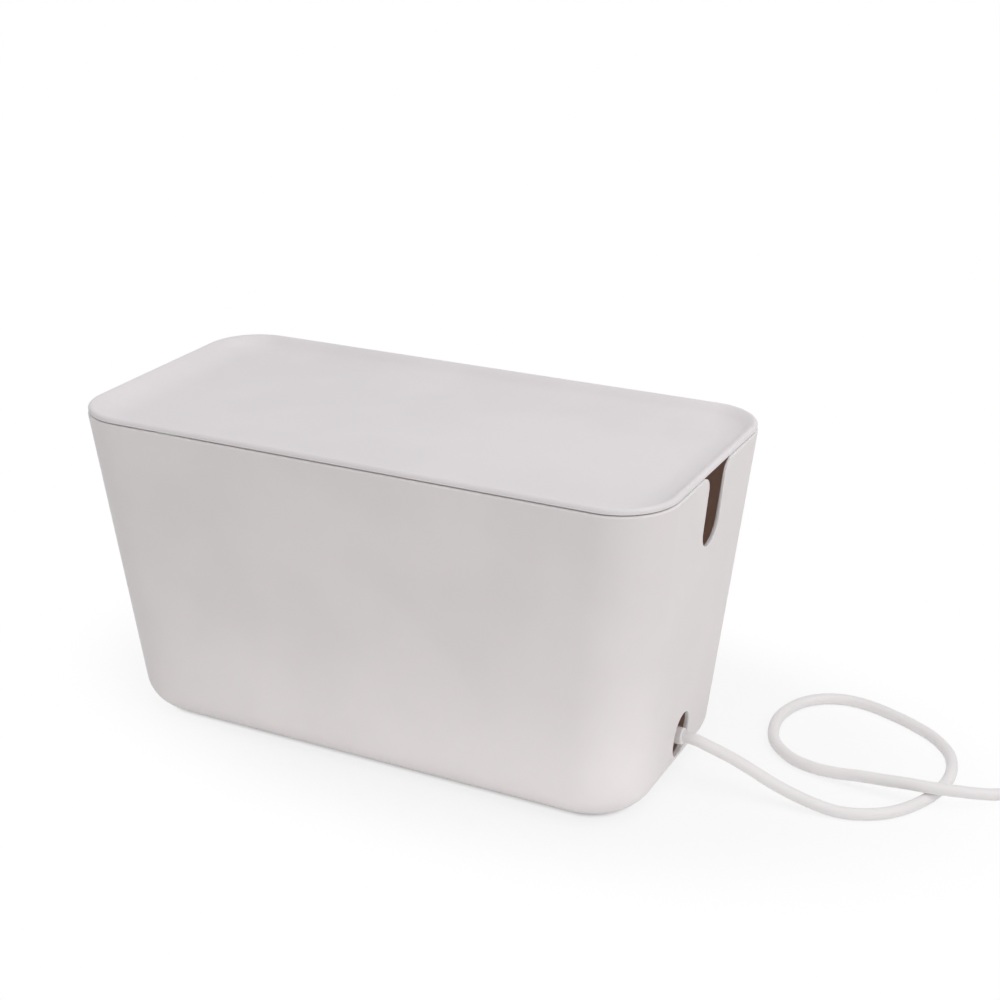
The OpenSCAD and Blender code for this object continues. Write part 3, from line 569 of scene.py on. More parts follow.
def slot_outline(grow):
    """The slot in y and z, grown all round."""
    r = SLOT_W / 2
    bottom = SEAM_Z - SLOT_DEPTH + r
    above = SEAM_Z + CLEAR
    side = r + SLOT_FLARE
    points = [(side, above)]
    points += arc((side, SEAM_Z - SLOT_FLARE), SLOT_FLARE - grow, 90, 180, OPENING_STEPS // 2)
    points += arc((0, bottom), r + grow, 0, -180, OPENING_STEPS)
    points += arc((-side, SEAM_Z - SLOT_FLARE), SLOT_FLARE - grow, 0, 90, OPENING_STEPS // 2)
    return points + [(-side, above)]


def slot_lip_outline(grow):
    """The slot grown for its lip, which ends below the rim."""
    r = SLOT_W / 2 + grow
    bottom = SEAM_Z - SLOT_DEPTH + SLOT_W / 2
    top = SEAM_Z - SLOT_FLARE
    return [(r, top)] + arc((0, bottom), r, 0, -180, OPENING_STEPS) + [(-r, top)]


def port_outline(grow):
    """The port in y and z, grown all round."""
    r = PORT_W / 2 + grow
    half = PORT_STRAIGHT / 2
    upper = arc((0, PORT_Z + half), r, 0, 180, OPENING_STEPS)
    return upper + arc((0, PORT_Z - half), r, 180, 360, OPENING_STEPS)


def through_end_wall(bm, outline, side):
    """A cutter through the leaning end wall, wider at both faces so that it leaves rounded edges."""
    depths = [(-OUTSIDE, OPENING_ROUND)]
    depths += [(OPENING_ROUND * (1 - cos(t)), OPENING_ROUND * (1 - sin(t))) for t in QUARTER]
    depths += [(WALL - OPENING_EASE * (1 - cos(t)), OPENING_EASE * (1 - sin(t))) for t in reversed(QUARTER)]
    depths += [(INSIDE, OPENING_EASE)]
    loft(bm, [[Vector((side * (half_l(z) - depth), y, z)) for y, z in outline(grow)]
              for depth, grow in depths])


def cut(obj, bm, finish=0, operation="DIFFERENCE"):
    """Takes a closed bmesh away from an object, or adds it, for good. The new faces take a finish,
    which is the place of one of the object's materials."""
    cutter = mesh_object("cutter", bm, obj.data.materials[finish])
    boolean = obj.modifiers.new("cut", "BOOLEAN")
    boolean.operation = operation
    boolean.solver = "EXACT"
    boolean.object = cutter
    graph = bpy.context.evaluated_depsgraph_get()
    graph.update()
    result = bpy.data.meshes.new_from_object(obj.evaluated_get(graph))
    obj.modifiers.clear()
    obj.data = result
    bpy.data.objects.remove(cutter)


def lip(bm, outline, side, low, high):
    """A lip on the end wall's inner face, round an opening: a pad that the opening then goes through.
    Low and high are (height, thickness) at its two ends."""
    rings = []
    for depth, share, ease in ((WALL - LIP_ROOT, 0, 0), (WALL, LIP_SIDE, 0), (WALL, 1, LIP_EASE)):
        ring = []
        for y, z in outline(LIP_W - ease):
            up = min(1, max(0, (z - low[0]) / (high[0] - low[0])))
            thick = low[1] + (high[1] - low[1]) * up
            ring.append(Vector((side * (half_l(z) - depth - share * thick), y, z)))
        rings.append(ring)
    loft(bm, rings)


def tub_shell():
    """The tub before it is cut: a thin shell with a rounded base and rim, in its three finishes."""
    steps = [k * (pi / 2 - LEAN_A) / BASE_STEPS for k in range(BASE_STEPS + 1)]
    outer = [edge_ring(BASE_EDGE, a) for a in steps]
    rim = [plan_ring(SEAM_Z - TUB_EDGE_ROUND * (1 - sin(t)), TUB_EDGE_ROUND * (1 - cos(t)))
           for t in QUARTER]
    rim += [plan_ring(SEAM_Z - TUB_EDGE_EASE * (1 - sin(t)),
                      WALL / cos(LEAN_A) - TUB_EDGE_EASE * (1 - cos(t)))
            for t in [radians(a) for a in (60, 30, 0)]]
    inner = [edge_ring(BASE_EDGE - WALL, a) for a in reversed(steps)]
    bm = bmesh.new()
    loft(bm, outer + rim + inner)
    bm.faces.ensure_lookup_table()
    # the faces come in the order of the rings, and after them the base's outer and inner face
    around = len(rim[0])
    rim_start, rim_end = (len(outer) + 1) * around, (len(outer) + len(rim) - 1) * around
    for face in bm.faces[rim_start:rim_end]:
        face.material_index = EDGE_PAINTED_PALER
    for face in bm.faces[rim_end:-2]:
        face.material_index = INNER_PAINTED_GLOW
    bm.faces[-1].material_index = INNER_PAINTED_GLOW
    tub = mesh_object("tub_shell", bm, tub_plastic)
    tub.data.materials.append(inner_plastic_painted_glow)
    tub.data.materials.append(edge_plastic_painted_paler)
    return tub


def cut_tub(tub):
    """Adds the lips, then cuts the slots, the ports and the recesses for the pads."""
    lips = bmesh.new()
    for side in (-1, 1):
        lip(lips, slot_lip_outline, side, (SEAM_Z - SLOT_DEPTH, LIP_T), (SEAM_Z - SLOT_FLARE, LIP_FADE_T))
        lip(lips, port_outline, side, (PORT_Z - PORT_W / 2, PORT_SILL_T), (PORT_Z, LIP_T))
    cut(tub, lips, INNER_PAINTED_GLOW, "UNION")
    openings = bmesh.new()
    for side in (-1, 1):
        through_end_wall(openings, slot_outline, side)
        through_end_wall(openings, port_outline, side)
    cut(tub, openings, EDGE_PAINTED_PALER)
    recesses = bmesh.new()
    foot_x, foot_y = (reach - FOOT_EDGE for reach in base_reach())
    for sx in (-1, 1):
        for sy in (-1, 1):
            recess = circle((sx * foot_x, sy * foot_y), FOOT_D / 2 + FOOT_FIT)
            column(recesses, recess, 0, FOOT_GAP + FOOT_RECESS)
    cut(tub, recesses, TUB_FINISH)


def make_tub():
    """The tub: the shell with its openings, in clean faces that shade evenly."""
    tub = tub_shell()
    cut_tub(tub)
    # the large faces that the cuts leave are split here, so that the mesh stays clean when it is exported
    split = bmesh.new()
    split.from_mesh(tub.data)
    bmesh.ops.triangulate(split, faces=[face for face in split.faces if len(face.verts) > 4])
    split.to_mesh(tub.data)
    split.free()
    for face in tub.data.polygons:
        face.use_smooth = True
    tub.data.set_sharp_from_angle(angle=radians(SHARP_A))
    even_shading(tub)
    belongs(tub, "box", "tub_plastic", "tub")


make_tub()


# ---------------- lid
def sweep_point(a, thickness=0):
    """(height, inset) at angle a down the tray's hollow sweep, moved down and out by a thickness."""
    along = hypot(TRAY_DEPTH * cos(a), TRAY_SWEEP * sin(a))
    inset = RIM_W + TRAY_SWEEP * (1 - cos(a)) - thickness * TRAY_DEPTH * cos(a) / along
    z = HEIGHT - TRAY_DEPTH * sin(a) - thickness * TRAY_SWEEP * sin(a) / along
    return z, inset


def rim_shoulder(start, end, slope_end, steps):
    """A soft bend from a level line at start to the slope at end, as (height, inset) pairs."""
    bend = (start[0], end[1] - (start[0] - end[0]) / slope_end)
    pairs = []
    for k in range(steps + 1):
        t = k / steps
        pairs.append(tuple(a * (1 - t) ** 2 + 2 * b * t * (1 - t) + c * t * t
                           for a, b, c in zip(start, bend, end)))
    return pairs


def make_lid():
    """The lid: a tray whose hollow sweep rises to a soft shoulder, a level crest and a rounded edge."""
    first = radians(SHOULDER_A)
    slope = TRAY_DEPTH * cos(first) / (TRAY_SWEEP * sin(first))
    top = [sweep_point(first + (pi / 2 - first) * k / SWEEP_STEPS) for k in range(SWEEP_STEPS + 1)]
    shoulder = rim_shoulder((HEIGHT, LID_INSET + RIM_ROUND + CREST_W), top[0], slope, SHOULDER_STEPS)
    rounding = [(HEIGHT - RIM_ROUND * (1 - cos(t)), LID_INSET + RIM_ROUND * (1 - sin(t)))
                for t in [radians(90 * k / RIM_STEPS) for k in range(RIM_STEPS + 1)]]
    under_z = SEAM_Z + LID_GAP
    under = [sweep_point(radians(a), LID_WALL) for a in range(15, 91, 5)]
    under = [pair for pair in under if pair[0] < under_z - SEAT_EASE]
    profile = list(reversed(top)) + list(reversed(shoulder))[1:] + rounding
    profile += [(under_z + LID_FOOT_ROUND * (1 - sin(t)), LID_INSET + LID_FOOT_ROUND * (1 - cos(t)))
                for t in QUARTER]
    profile += [(under_z, under[0][1] - SEAT_EASE)] + under
    bm = bmesh.new()
    loft(bm, [plan_ring(z, inset) for z, inset in profile])
    lid = mesh_object("lid_tray", bm, lid_plastic)
    soften(lid, 0.35 * MM)
    belongs(lid, "lid", "lid_plastic", "lid")


make_lid()


# ---------------- feet
UPRIGHT = Matrix.Rotation(radians(-90), 4, "Y")           # turns a local x axis upwards


def make_foot(name, node):
    """A stuck-on rubber pad with a rounded rim and a shallow dish where it stands."""
    low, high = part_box(node)
    middle = (low + high) / 2
    tall, radius = high.z - low.z, (high.x - low.x) / 2
    edge, edge_middle = 0.5 * MM, 0.15 * MM
    dish = ((0.15 * MM, 0.3), (0.12 * MM, 0.6), (0, 0.72))        # its depth at shares of the radius
    bm = bmesh.new()
    profile = [(depth, radius * share) for depth, share in dish]
    profile += [(0, radius - edge), (edge_middle, radius - edge_middle), (edge, radius), (tall, radius)]
    turned(bm, profile, Matrix.Translation((middle.x, middle.y, 0)) @ UPRIGHT, 48)
    foot = mesh_object(name, bm, foot_rubber)
    soften(foot, 0.1 * MM)
    belongs(foot, "box", "foot_rubber", node)


for corner in ("front_left", "front_right", "rear_left", "rear_right"):
    make_foot("pad_" + corner, "foot_" + corner)


# ---------------- power strip
strip_low, strip_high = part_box("strip_base")[0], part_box("strip_cover")[1]
split_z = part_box("strip_base")[1].z
STRIP_Y = (strip_low.y + strip_high.y) / 2
TOP_Z = strip_high.z
OUTLET_XS = [strip_high.x - FIRST_OUTLET - OUTLET_PITCH * k for k in range(OUTLETS)]
SWITCH_X, BREAKER_X = strip_high.x - SWITCH_AT, strip_high.x - BREAKER_AT
SWITCH_L, SWITCH_W = 2 * (ROCKER_R + POCKET_GAP + POCKET_END), BEZEL_W - 2 * BEZEL_SIDE
ROCKER_W = SWITCH_W - 2 * POCKET_SIDE
PIVOT = Vector((SWITCH_X, STRIP_Y, TOP_Z - PIVOT_DROP))


def make_strip_cover():
    """The strip's upper half: a thin shell with sunk outlet faces and holes for plugs, switch and breaker."""
    low, high = Vector((strip_low.x, strip_low.y, split_z)), strip_high
    wall = Vector((STRIP_WALL, STRIP_WALL, 0))
    outer = block_rings(low, high, STRIP_R, COVER_FOOT, COVER_ROUND)
    inner = block_rings(low + wall, high - wall - Vector((0, 0, COVER_T)), STRIP_R - STRIP_WALL, 0,
                        COVER_INNER)
    bm = bmesh.new()
    loft(bm, list(reversed(inner)) + outer)
    cover = mesh_object("strip_top", bm, strip_plastic)

    below, above = TOP_Z - HOLE_DEPTH, TOP_Z + CLEAR
    faces = bmesh.new()
    for x in OUTLET_XS:
        column(faces, circle((x, STRIP_Y), OUTLET_FACE_R, 96), TOP_Z - OUTLET_SINK, above)
    long, wide = SWITCH_L / 2 + PART_FIT, SWITCH_W / 2 + PART_FIT
    column(faces, oblong(SWITCH_X - long, SWITCH_X + long, STRIP_Y - wide, STRIP_Y + wide), below, above)
    column(faces, circle((BREAKER_X, STRIP_Y), NECK_R + PART_FIT), below, above)
    cut(cover, faces)
    holes = bmesh.new()
    for x in OUTLET_XS:
        blades_x, long, wide = x + BLADES_OFF, BLADE_SLOT_L / 2, BLADE_SLOT_W / 2
        for side, more in ((1, 0), (-1, NEUTRAL_MORE)):
            y = STRIP_Y + side * BLADE_GAP / 2
            column(holes, oblong(blades_x - long - more, blades_x + long, y - wide, y + wide), below, above)
        column(holes, circle((blades_x - EARTH_GAP, STRIP_Y), EARTH_HOLE_R, 32), below, above)
    turned(holes, [(-2 * CLEAR, CORD_HOLE_R), (CLEAR, CORD_HOLE_R)],
           Matrix.Translation((strip_high.x, STRIP_Y, split_z)), 48)
    cut(cover, holes)
    soften(cover, 0.35 * MM)
    belongs(cover, "box", "strip_plastic", "strip_cover")


def pocket_outline():
    """The rocker's pocket, in x and z: a half round under straight sides."""
    r, above = ROCKER_R + POCKET_GAP, TOP_Z + 3 * CLEAR
    return [(PIVOT.x + r, above)] + arc((PIVOT.x, PIVOT.z), r, 0, -180, 32) + [(PIVOT.x - r, above)]


def across(bm, outline, half, turn=Matrix.Identity(4)):
    """A block with an outline in x and z, reaching half a width to each side of the strip's middle."""
    loft(bm, [[turn @ Vector((x, STRIP_Y + side * half, z)) for x, z in outline] for side in (-1, 1)])


def make_switch():
    """The switch's housing: a framed bezel on the cover, with the rocker's pocket sunk in it."""
    base_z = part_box("switch_body")[0].z
    deep = Vector((SWITCH_L / 2, SWITCH_W / 2, 0))
    wide = Vector((SWITCH_L / 2 + BEZEL_END, BEZEL_W / 2, 0))
    middle = Vector((SWITCH_X, STRIP_Y, 0))
    rings = [block_ring(middle - deep, middle + deep, SWITCH_CORNER, z) for z in (base_z, TOP_Z)]
    low, high = middle - wide + Vector((0, 0, TOP_Z)), middle + wide + Vector((0, 0, TOP_Z + BEZEL_T))
    rings += block_rings(low, high, BEZEL_CORNER, 0, BEZEL_ROUND)
    bm = bmesh.new()
    loft(bm, rings)
    switch = mesh_object("switch_housing", bm, switch_black)
    pocket = bmesh.new()
    across(pocket, pocket_outline(), ROCKER_W / 2 + PART_FIT)
    cut(switch, pocket)
    soften(switch, 0.25 * MM)
    belongs(switch, "box", "switch_black", "switch_body")


def make_rocker():
    """The rocker: a drum under a shallow V, pressed down at the cord's end."""
    end = ROCKER_R - ROCKER_ENDS
    lift = ROCKER_VALLEY + end * tan(radians(ROCKER_TILT))
    shoulder = (ROCKER_R ** 2 - end ** 2) ** 0.5
    start = degrees(asin(shoulder / ROCKER_R))
    outline = [(end, lift), (0, ROCKER_VALLEY), (-end, lift)]
    outline += arc((0, 0), ROCKER_R, 180 - start, 360 + start, 40)
    turn = Matrix.Translation(PIVOT) @ Matrix.Rotation(radians(ROCKER_TILT), 4, "Y")
    turn = turn @ Matrix.Translation((0, -STRIP_Y, 0))
    bm = bmesh.new()
    across(bm, outline, ROCKER_W / 2, turn)
    rocker = mesh_object("rocker_paddle", bm, rocker_red)
    soften(rocker, 0.45 * MM, angle=30)
    belongs(rocker, "rocker", "rocker_red", "rocker")


def make_breaker_nut():
    """The hexagon nut that holds the breaker in the cover."""
    low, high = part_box("breaker_nut")
    hexagon = arc((BREAKER_X, STRIP_Y), NUT_AF / 2 / cos(pi / 6), 0, 360, 6)[:-1]
    bm = bmesh.new()
    column(bm, hexagon, low.z, high.z)
    nut = mesh_object("panel_nut", bm, screw_steel, smooth=False)
    bore = bmesh.new()
    column(bore, circle((BREAKER_X, STRIP_Y), NECK_R + NUT_FIT), low.z - CLEAR / 2, high.z + CLEAR / 2)
    cut(nut, bore)
    soften(nut, 0.35 * MM)
    belongs(nut, "box", "screw_steel", "breaker_nut")


def make_reset_button():
    """The breaker's button: a pin with a rounded edge and a shallow dish for the finger."""
    low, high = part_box("reset_button")
    tall, radius = high.z - low.z, (high.x - low.x) / 2
    dish = ((0.1 * MM, 0.6), (0.25 * MM, 0.2))            # its depth at shares of the radius
    profile = [(0, radius)]
    profile += [(tall - BUTTON_ROUND * (1 - sin(t)), radius - BUTTON_ROUND * (1 - cos(t)))
                for t in COARSE_QUARTER]
    profile += [(tall - depth, radius * share) for depth, share in dish]
    bm = bmesh.new()
    turned(bm, profile, Matrix.Translation((BREAKER_X, STRIP_Y, low.z)) @ UPRIGHT, 48)
    button = mesh_object("reset_cap", bm, button_white)
    soften(button, 0.1 * MM)
    belongs(button, "reset_button", "button_white", "reset_button")


make_strip_cover()
make_switch()
make_rocker()
make_breaker_nut()
make_reset_button()


# ---------------- strain relief
def make_boot():
    """The cord's strain relief: two flanges that grip the housing, then a tapered sleeve cut into ribs."""
    collar_r, groove_r, neck_r = CORD_R + 1.5 * MM, CORD_R + 1 * MM, BOOT_ROOT_R - 1 * MM
    collar_l, plain_root, plain_tip, tip_round = 3 * MM, 3 * MM, 7 * MM, 1 * MM
    grooves = 5
    step = (BOOT_L - FLANGE_T - plain_root - plain_tip) / grooves

    def sleeve_r(x):
        """The sleeve's radius, so far from its root."""
        return BOOT_ROOT_R + (BOOT_TIP_R - BOOT_ROOT_R) * x / BOOT_L

    back = -STRIP_WALL - FLANGE_T
    profile = [(back - collar_l, collar_r), (back, collar_r), (back, FLANGE_R),
               (-STRIP_WALL, FLANGE_R), (-STRIP_WALL, neck_r), (0, neck_r),
               (0, FLANGE_R), (FLANGE_T, FLANGE_R), (FLANGE_T, sleeve_r(FLANGE_T))]
    for k in range(grooves):
        x = FLANGE_T + plain_root + k * step
        end = x + step / 3
        profile += [(x, sleeve_r(x)), (x, groove_r), (end, groove_r), (end, sleeve_r(end))]
    profile += [(BOOT_L - tip_round * (1 - sin(t)), BOOT_TIP_R - tip_round * (1 - cos(t)))
                for t in COARSE_QUARTER]
    bm = bmesh.new()
    turned(bm, profile, Matrix.Translation(BOOT_TIP - Vector((BOOT_L, 0, 0))))
    boot = mesh_object("cord_relief", bm, boot_pvc)
    soften(boot, 0.3 * MM)
    belongs(boot, "box", "boot_pvc", "cord_boot")


make_boot()


# ---------------- plug
UP = Vector((0, 0, 1))
plug_frame = Matrix((LEAVE_HEADING, UP.cross(LEAVE_HEADING), UP)).transposed().to_4x4()
plug_frame = Matrix.Translation(PLUG_START) @ plug_frame
FACE_X = PLUG_BOOT_L + PLUG_L                             # along the plug, from where its relief begins
BLADE_Z = 5 * MM                                          # the blades, above the cord's line


def plug_ring(x, half_y, half_z, radius):
    """A ring round the plug, so far along it: a rectangle with round corners."""
    corners = ((1, 1), (-1, 1), (-1, -1), (1, -1))
    points = []
    for quarter, (sy, sz) in enumerate(corners):
        middle = (sy * (half_y - radius), sz * (half_z - radius))
        points += arc(middle, radius, 90 * quarter, 90 * quarter + 90, 10)
    return [plug_frame @ Vector((x, y, z)) for y, z in points]


def make_plug_housing():
    """The plug's grip, with a waist and finger ridges."""
    half_y, half_z = PLUG_W / 2, PLUG_START.z
    # the flat back's inset, the rounding round it, how much its corners tighten, and the face's rounding
    back, shoulder, tighter, face = 5 * MM, 3.5 * MM, 2 * MM, 1.5 * MM
    rings = [plug_ring(PLUG_BOOT_L, half_y - back, half_z - back, back)]
    for t in QUARTER[:-1]:
        inset = shoulder * (1 - sin(t))
        rings.append(plug_ring(PLUG_BOOT_L + shoulder * (1 - cos(t)), half_y - inset, half_z - inset,
                               PLUG_CORNER - tighter * (1 - sin(t))))
    steps, waist_depth = 32, 1.6 * MM
    ridges, ridge_depth, ridge_start, ridge_end = 6, 0.35 * MM, 7, 25
    for k in range(steps + 1):
        x = PLUG_BOOT_L + shoulder + (PLUG_L - shoulder - 2 * face) * k / steps
        waist = waist_depth * sin(pi * k / steps) ** 2
        if ridge_start <= k <= ridge_end:
            along = (k - ridge_start) / (ridge_end - ridge_start)
            waist += ridge_depth * (1 - cos(2 * pi * ridges * along)) / 2
        rings.append(plug_ring(x, half_y - waist, half_z, PLUG_CORNER))
    for t in QUARTER:
        inset = face * (1 - cos(t))
        rings.append(plug_ring(FACE_X - face * (1 - sin(t)), half_y - inset, half_z - inset,
                               PLUG_CORNER - inset))
    bm = bmesh.new()
    loft(bm, rings)
    housing = mesh_object("plug_housing", bm, boot_pvc)
    soften(housing, 0.3 * MM)
    belongs(housing, "box", "plug_pvc", "plug_body")


def make_plug_relief():
    """The plug's strain relief: a tapered sleeve cut into ribs."""
    tip_r, root_r, groove_r = 5.75 * MM, 7.25 * MM, CORD_R + 0.9 * MM
    grooves, plain_tip, pitch, groove_w, sunk = 5, 4 * MM, 4.6 * MM, 1.5 * MM, 1 * MM
    edge, edge_middle = 0.8 * MM, 0.25 * MM
    profile = [(0, tip_r - edge), (edge_middle, tip_r - edge_middle), (edge, tip_r)]
    for k in range(grooves):
        x = plain_tip + pitch * k
        r = tip_r + (root_r - tip_r) * x / PLUG_BOOT_L
        profile += [(x, r), (x, groove_r), (x + groove_w, groove_r), (x + groove_w, r)]
    profile += [(PLUG_BOOT_L + sunk, root_r)]
    bm = bmesh.new()
    turned(bm, profile, plug_frame)
    relief = mesh_object("plug_relief", bm, boot_pvc)
    soften(relief, 0.3 * MM)
    belongs(relief, "box", "plug_pvc", "plug_body")


def make_plug_blade(name, node, side):
    """A flat blade to one side of the plug's middle, tapered at its end, with an eye through it."""
    taper_l, taper, eye_back, eye_r = 1.2 * MM, 0.45 * MM, 4.5 * MM, 1.5 * MM
    y = side * BLADE_GAP / 2
    rings = []
    for out, inset in ((0, 0), (BLADE_L - taper_l, 0), (BLADE_L, taper)):
        half_t, half_h = BLADE_T / 2 - inset, BLADE_H / 2 - inset
        corners = oblong(y - half_t, y + half_t, BLADE_Z - half_h, BLADE_Z + half_h)
        rings.append([plug_frame @ Vector((FACE_X + out, py, pz)) for py, pz in corners])
    bm = bmesh.new()
    loft(bm, rings)
    blade = mesh_object(name, bm, blade_brass, smooth=False)
    eye = bmesh.new()
    middle = (FACE_X + BLADE_L - eye_back, BLADE_Z)
    loft(eye, [[plug_frame @ Vector((x, y + reach, z)) for x, z in circle(middle, eye_r, 32)]
               for reach in (-CLEAR, CLEAR)])
    cut(blade, eye)
    soften(blade, 0.2 * MM)
    belongs(blade, "box", "blade_brass", node)


def make_earth_pin():
    """The plug's round pin, with a rounded end."""
    pin_l, tip_l, r = BLADE_L + 3 * MM, 2 * MM, EARTH_D / 2
    round_tip = [(pin_l - tip_l * (1 - sin(t)), r * (1 + cos(t)) / 2) for t in QUARTER]
    bm = bmesh.new()
    turned(bm, [(0, r)] + round_tip, plug_frame @ Matrix.Translation((FACE_X, 0, BLADE_Z - EARTH_GAP)), 48)
    pin = mesh_object("plug_earth_pin", bm, blade_brass)
    soften(pin, 0.2 * MM)
    belongs(pin, "box", "blade_brass", "earth_pin")


make_plug_housing()
make_plug_relief()
make_plug_blade("plug_blade_live", "live_blade", 1)
make_plug_blade("plug_blade_neutral", "neutral_blade", -1)
make_earth_pin()


# ---------------- coil strap
def make_strap():
    """One length of loop tape round the bundle of turns, whose end laps over its start."""
    inner, outer = COIL_MID_R - TURN_PITCH / 2 - CORD_R, COIL_MID_R + TURN_PITCH / 2 + CORD_R
    low, high = TIE_T, TIE_T + TURN_PITCH + CORD_D
    mid, r = (inner + outer) / 2, CORD_R
    flat_step, turn_step = 2 * MM, 15                     # between points of its path, and degrees
    lap_rise, lap_end = 5, 10                             # points over which the end climbs, and laps
    air, lap_gap = 0.02 * MM, 0.05 * MM                   # under the strap, and what its end adds to that
    path = [((mid + flat_step * k, high), (0, 1)) for k in range(2)]
    for (x, z), start in (((outer - r, high - r), 90), ((outer - r, low + r), 0), ((inner + r, low + r), -90),
                          ((inner + r, high - r), -180)):
        for k in range(90 // turn_step + 1):
            a = radians(start - turn_step * k)
            path.append(((x + r * cos(a), z + r * sin(a)), (cos(a), sin(a))))
    path.append(((mid - flat_step, high), (0, 1)))
    lapped = path[:lap_end]                               # it stops on the outer side, clear of the floor
    tie_a, thick = radians(TIE_ANGLE), TIE_T - air
    tangent, radial = Vector((-sin(tie_a), cos(tie_a), 0)), Vector((cos(tie_a), sin(tie_a), 0))
    rings = []
    for k, ((x, z), (nx, nz)) in enumerate(path + lapped):
        lift = (TIE_T + lap_gap) * smooth_step(k, len(path) - lap_rise, len(path))
        ring = []
        for t, side in ((0, -1), (thick, -1), (thick, 1), (0, 1)):
            out = air + lift + t
            place = COIL_CENTRE + radial * (x + nx * out) + Vector((0, 0, z + nz * out))
            ring.append(place + tangent * side * TIE_W / 2)
        rings.append(ring)
    bm = bmesh.new()
    loft(bm, rings)
    strap = mesh_object("coil_strap", bm, strap_fabric)
    soften(strap, 0.25 * MM, 2, 50)
    belongs(strap, "box", "strap_fabric", "cord_tie")


make_strap()


# ---------------- stage
FLOOR_REACH = 8
WHITE = (1, 1, 1, 1)
FLOOR_PLAIN = "#F9F9F9"
# Less white than full paints the floor darker: a painted shade round the box, deepest along its base, laid
# over its real shadow.
# How white the floor looks: a share of full white up to the first distance, and all of it from the second.
# In a wide oval round the box,
OVAL_SHIFT, OVAL_SCALE = (-0.06, -0.07, 0), (1, 1.8, 1)
SHADE_FROM, SHADE_TO, SHADE_SHARE = 0.24, 0.4, 0.78
# and close to the outline of the box's flat base, where it stands in its own shade.
CONTACT_FROM, CONTACT_TO, CONTACT_SHARE = 3 * MM, 11.5 * MM, 0.12
WORLD_LEVEL = 0.44                                        # the light that the world gives


def seen_rays(tree):
    """1 for the rays that show a thing to the eye, straight, in a reflection or through glass."""
    path = add(tree, "ShaderNodeLightPath")
    seen = path.outputs["Is Camera Ray"]
    for kind in ("Is Glossy Ray", "Is Transmission Ray"):
        seen = add(tree, "ShaderNodeMath", {0: seen, 1: path.outputs[kind]}, operation="MAXIMUM").outputs[0]
    return seen


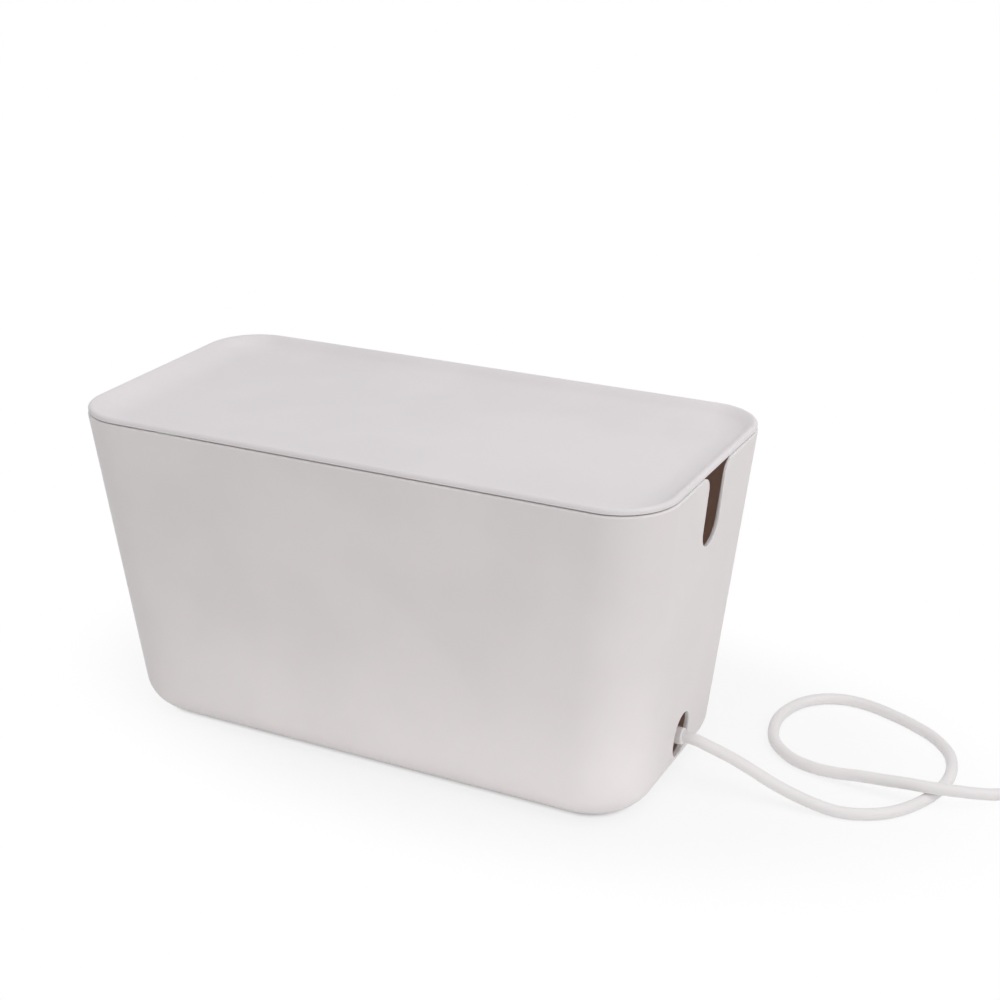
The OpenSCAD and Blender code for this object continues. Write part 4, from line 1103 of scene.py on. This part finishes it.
def make_floor():
    """A pale floor: matt, so that it takes the shadow, and mixed with the white that the eye sees, less of it
    round the box and along its base, which shows the real shadow there and paints some shade of its own.
    """
    material, tree, shader = blank("studio floor")
    tree.nodes.remove(shader)
    place = add(tree, "ShaderNodeTexCoord").outputs["Object"]
    oval = add(tree, "ShaderNodeMapping", {"Vector": place, "Location": OVAL_SHIFT, "Scale": OVAL_SCALE})
    away = add(tree, "ShaderNodeVectorMath", {0: oval.outputs["Vector"]}, operation="LENGTH")
    far = add(tree, "ShaderNodeMapRange", {
        "Value": away.outputs["Value"], "From Min": SHADE_FROM, "From Max": SHADE_TO,
        "To Min": SHADE_SHARE, "To Max": 1.0}, interpolation_type="SMOOTHSTEP")
    # the distance from the base's outline: a rectangle inside its round corners, and past that a radius
    base_x, base_y = base_reach()
    corner = corner_r(FOOT_GAP) - (half_l(FOOT_GAP) - base_x)
    side = add(tree, "ShaderNodeVectorMath", {0: place}, operation="ABSOLUTE")
    past = add(tree, "ShaderNodeVectorMath", {0: side.outputs[0], 1: (base_x - corner, base_y - corner, 0)},
               operation="SUBTRACT")
    past = add(tree, "ShaderNodeVectorMath", {0: past.outputs[0], 1: (0, 0, 0)}, operation="MAXIMUM")
    off = add(tree, "ShaderNodeVectorMath", {0: past.outputs[0]}, operation="LENGTH")
    # painted shade along the base's outline, over the real contact shadow
    near = add(tree, "ShaderNodeMapRange", {
        "Value": off.outputs["Value"], "From Min": corner + CONTACT_FROM, "From Max": corner + CONTACT_TO,
        "To Min": CONTACT_SHARE, "To Max": 1.0}, interpolation_type="SMOOTHSTEP")
    share = seen_rays(tree)
    for part in (far, near):
        product = add(tree, "ShaderNodeMath", {0: share, 1: part.outputs["Result"]}, operation="MULTIPLY")
        share = product.outputs[0]
    matt = add(tree, "ShaderNodeBsdfDiffuse", {"Color": colour(FLOOR_PLAIN)})
    white = add(tree, "ShaderNodeEmission", {"Color": WHITE, "Strength": 1.0})
    mix = add(tree, "ShaderNodeMixShader", {0: share, 1: matt.outputs[0], 2: white.outputs[0]})
    tree.links.new(mix.outputs[0], tree.nodes["Material Output"].inputs["Surface"])
    bm = bmesh.new()
    r = FLOOR_REACH
    bm.faces.new([bm.verts.new((x, y, 0)) for x, y in oblong(-r, r, -r, r)])
    floor = mesh_object("floor", bm, material, smooth=False)


def make_world():
    """An even light from all round, which the eye sees as white."""
    world = bpy.data.worlds.new("soft studio")
    bpy.context.scene.world = world
    world.use_nodes = True
    tree = world.node_tree
    tree.nodes.clear()
    level = add(tree, "ShaderNodeMapRange", {"Value": seen_rays(tree), "To Min": WORLD_LEVEL, "To Max": 1.0})
    sky = add(tree, "ShaderNodeBackground", {"Color": WHITE, "Strength": level.outputs["Result"]})
    out = add(tree, "ShaderNodeOutputWorld")
    tree.links.new(sky.outputs[0], out.inputs["Surface"])


def make_lamp(name, place, target, size, power):
    """A soft lamp: a disc of a diameter, or a panel of two sizes, aimed at a point."""
    data = bpy.data.lights.new(name, "AREA")
    data.energy = power
    if isinstance(size, tuple):
        data.shape = "RECTANGLE"
        data.size, data.size_y = size
    else:
        data.shape = "DISK"
        data.size = size
    lamp = new_object(name, data)
    lamp.visible_camera = False
    lamp.location = place
    lamp.rotation_euler = (Vector(target) - Vector(place)).to_track_quat("-Z", "Y").to_euler()


make_floor()
make_world()
# Each lamp's place, what it is aimed at, its size and its watts. The shooting table is lit from below in
# front of the box and past its end, which brightens the walls towards their feet.
for lamp in (("right softbox", (1.5, -0.25, 1.1), (0.1, 0, 0.12), 1.6, 7.0),
             ("overhead softbox", (0.3, 0.2, 2.0), (0, 0, 0.1), 2.0, 9.2),
             ("front softbox", (0.5, -1.9, 0.9), (0, 0, 0.12), 1.6, 3.4),
             ("table light in front", (0.06, -0.14, 0.0004), (0.06, -0.14001, 1), (0.48, 0.07), 0.042),
             ("table light at the end", (0.245, -0.125, 0.0004), (0.245, -0.12501, 1), (0.07, 0.15), 0.012)):
    make_lamp(*lamp)
bpy.context.scene.view_settings.view_transform = "Standard"
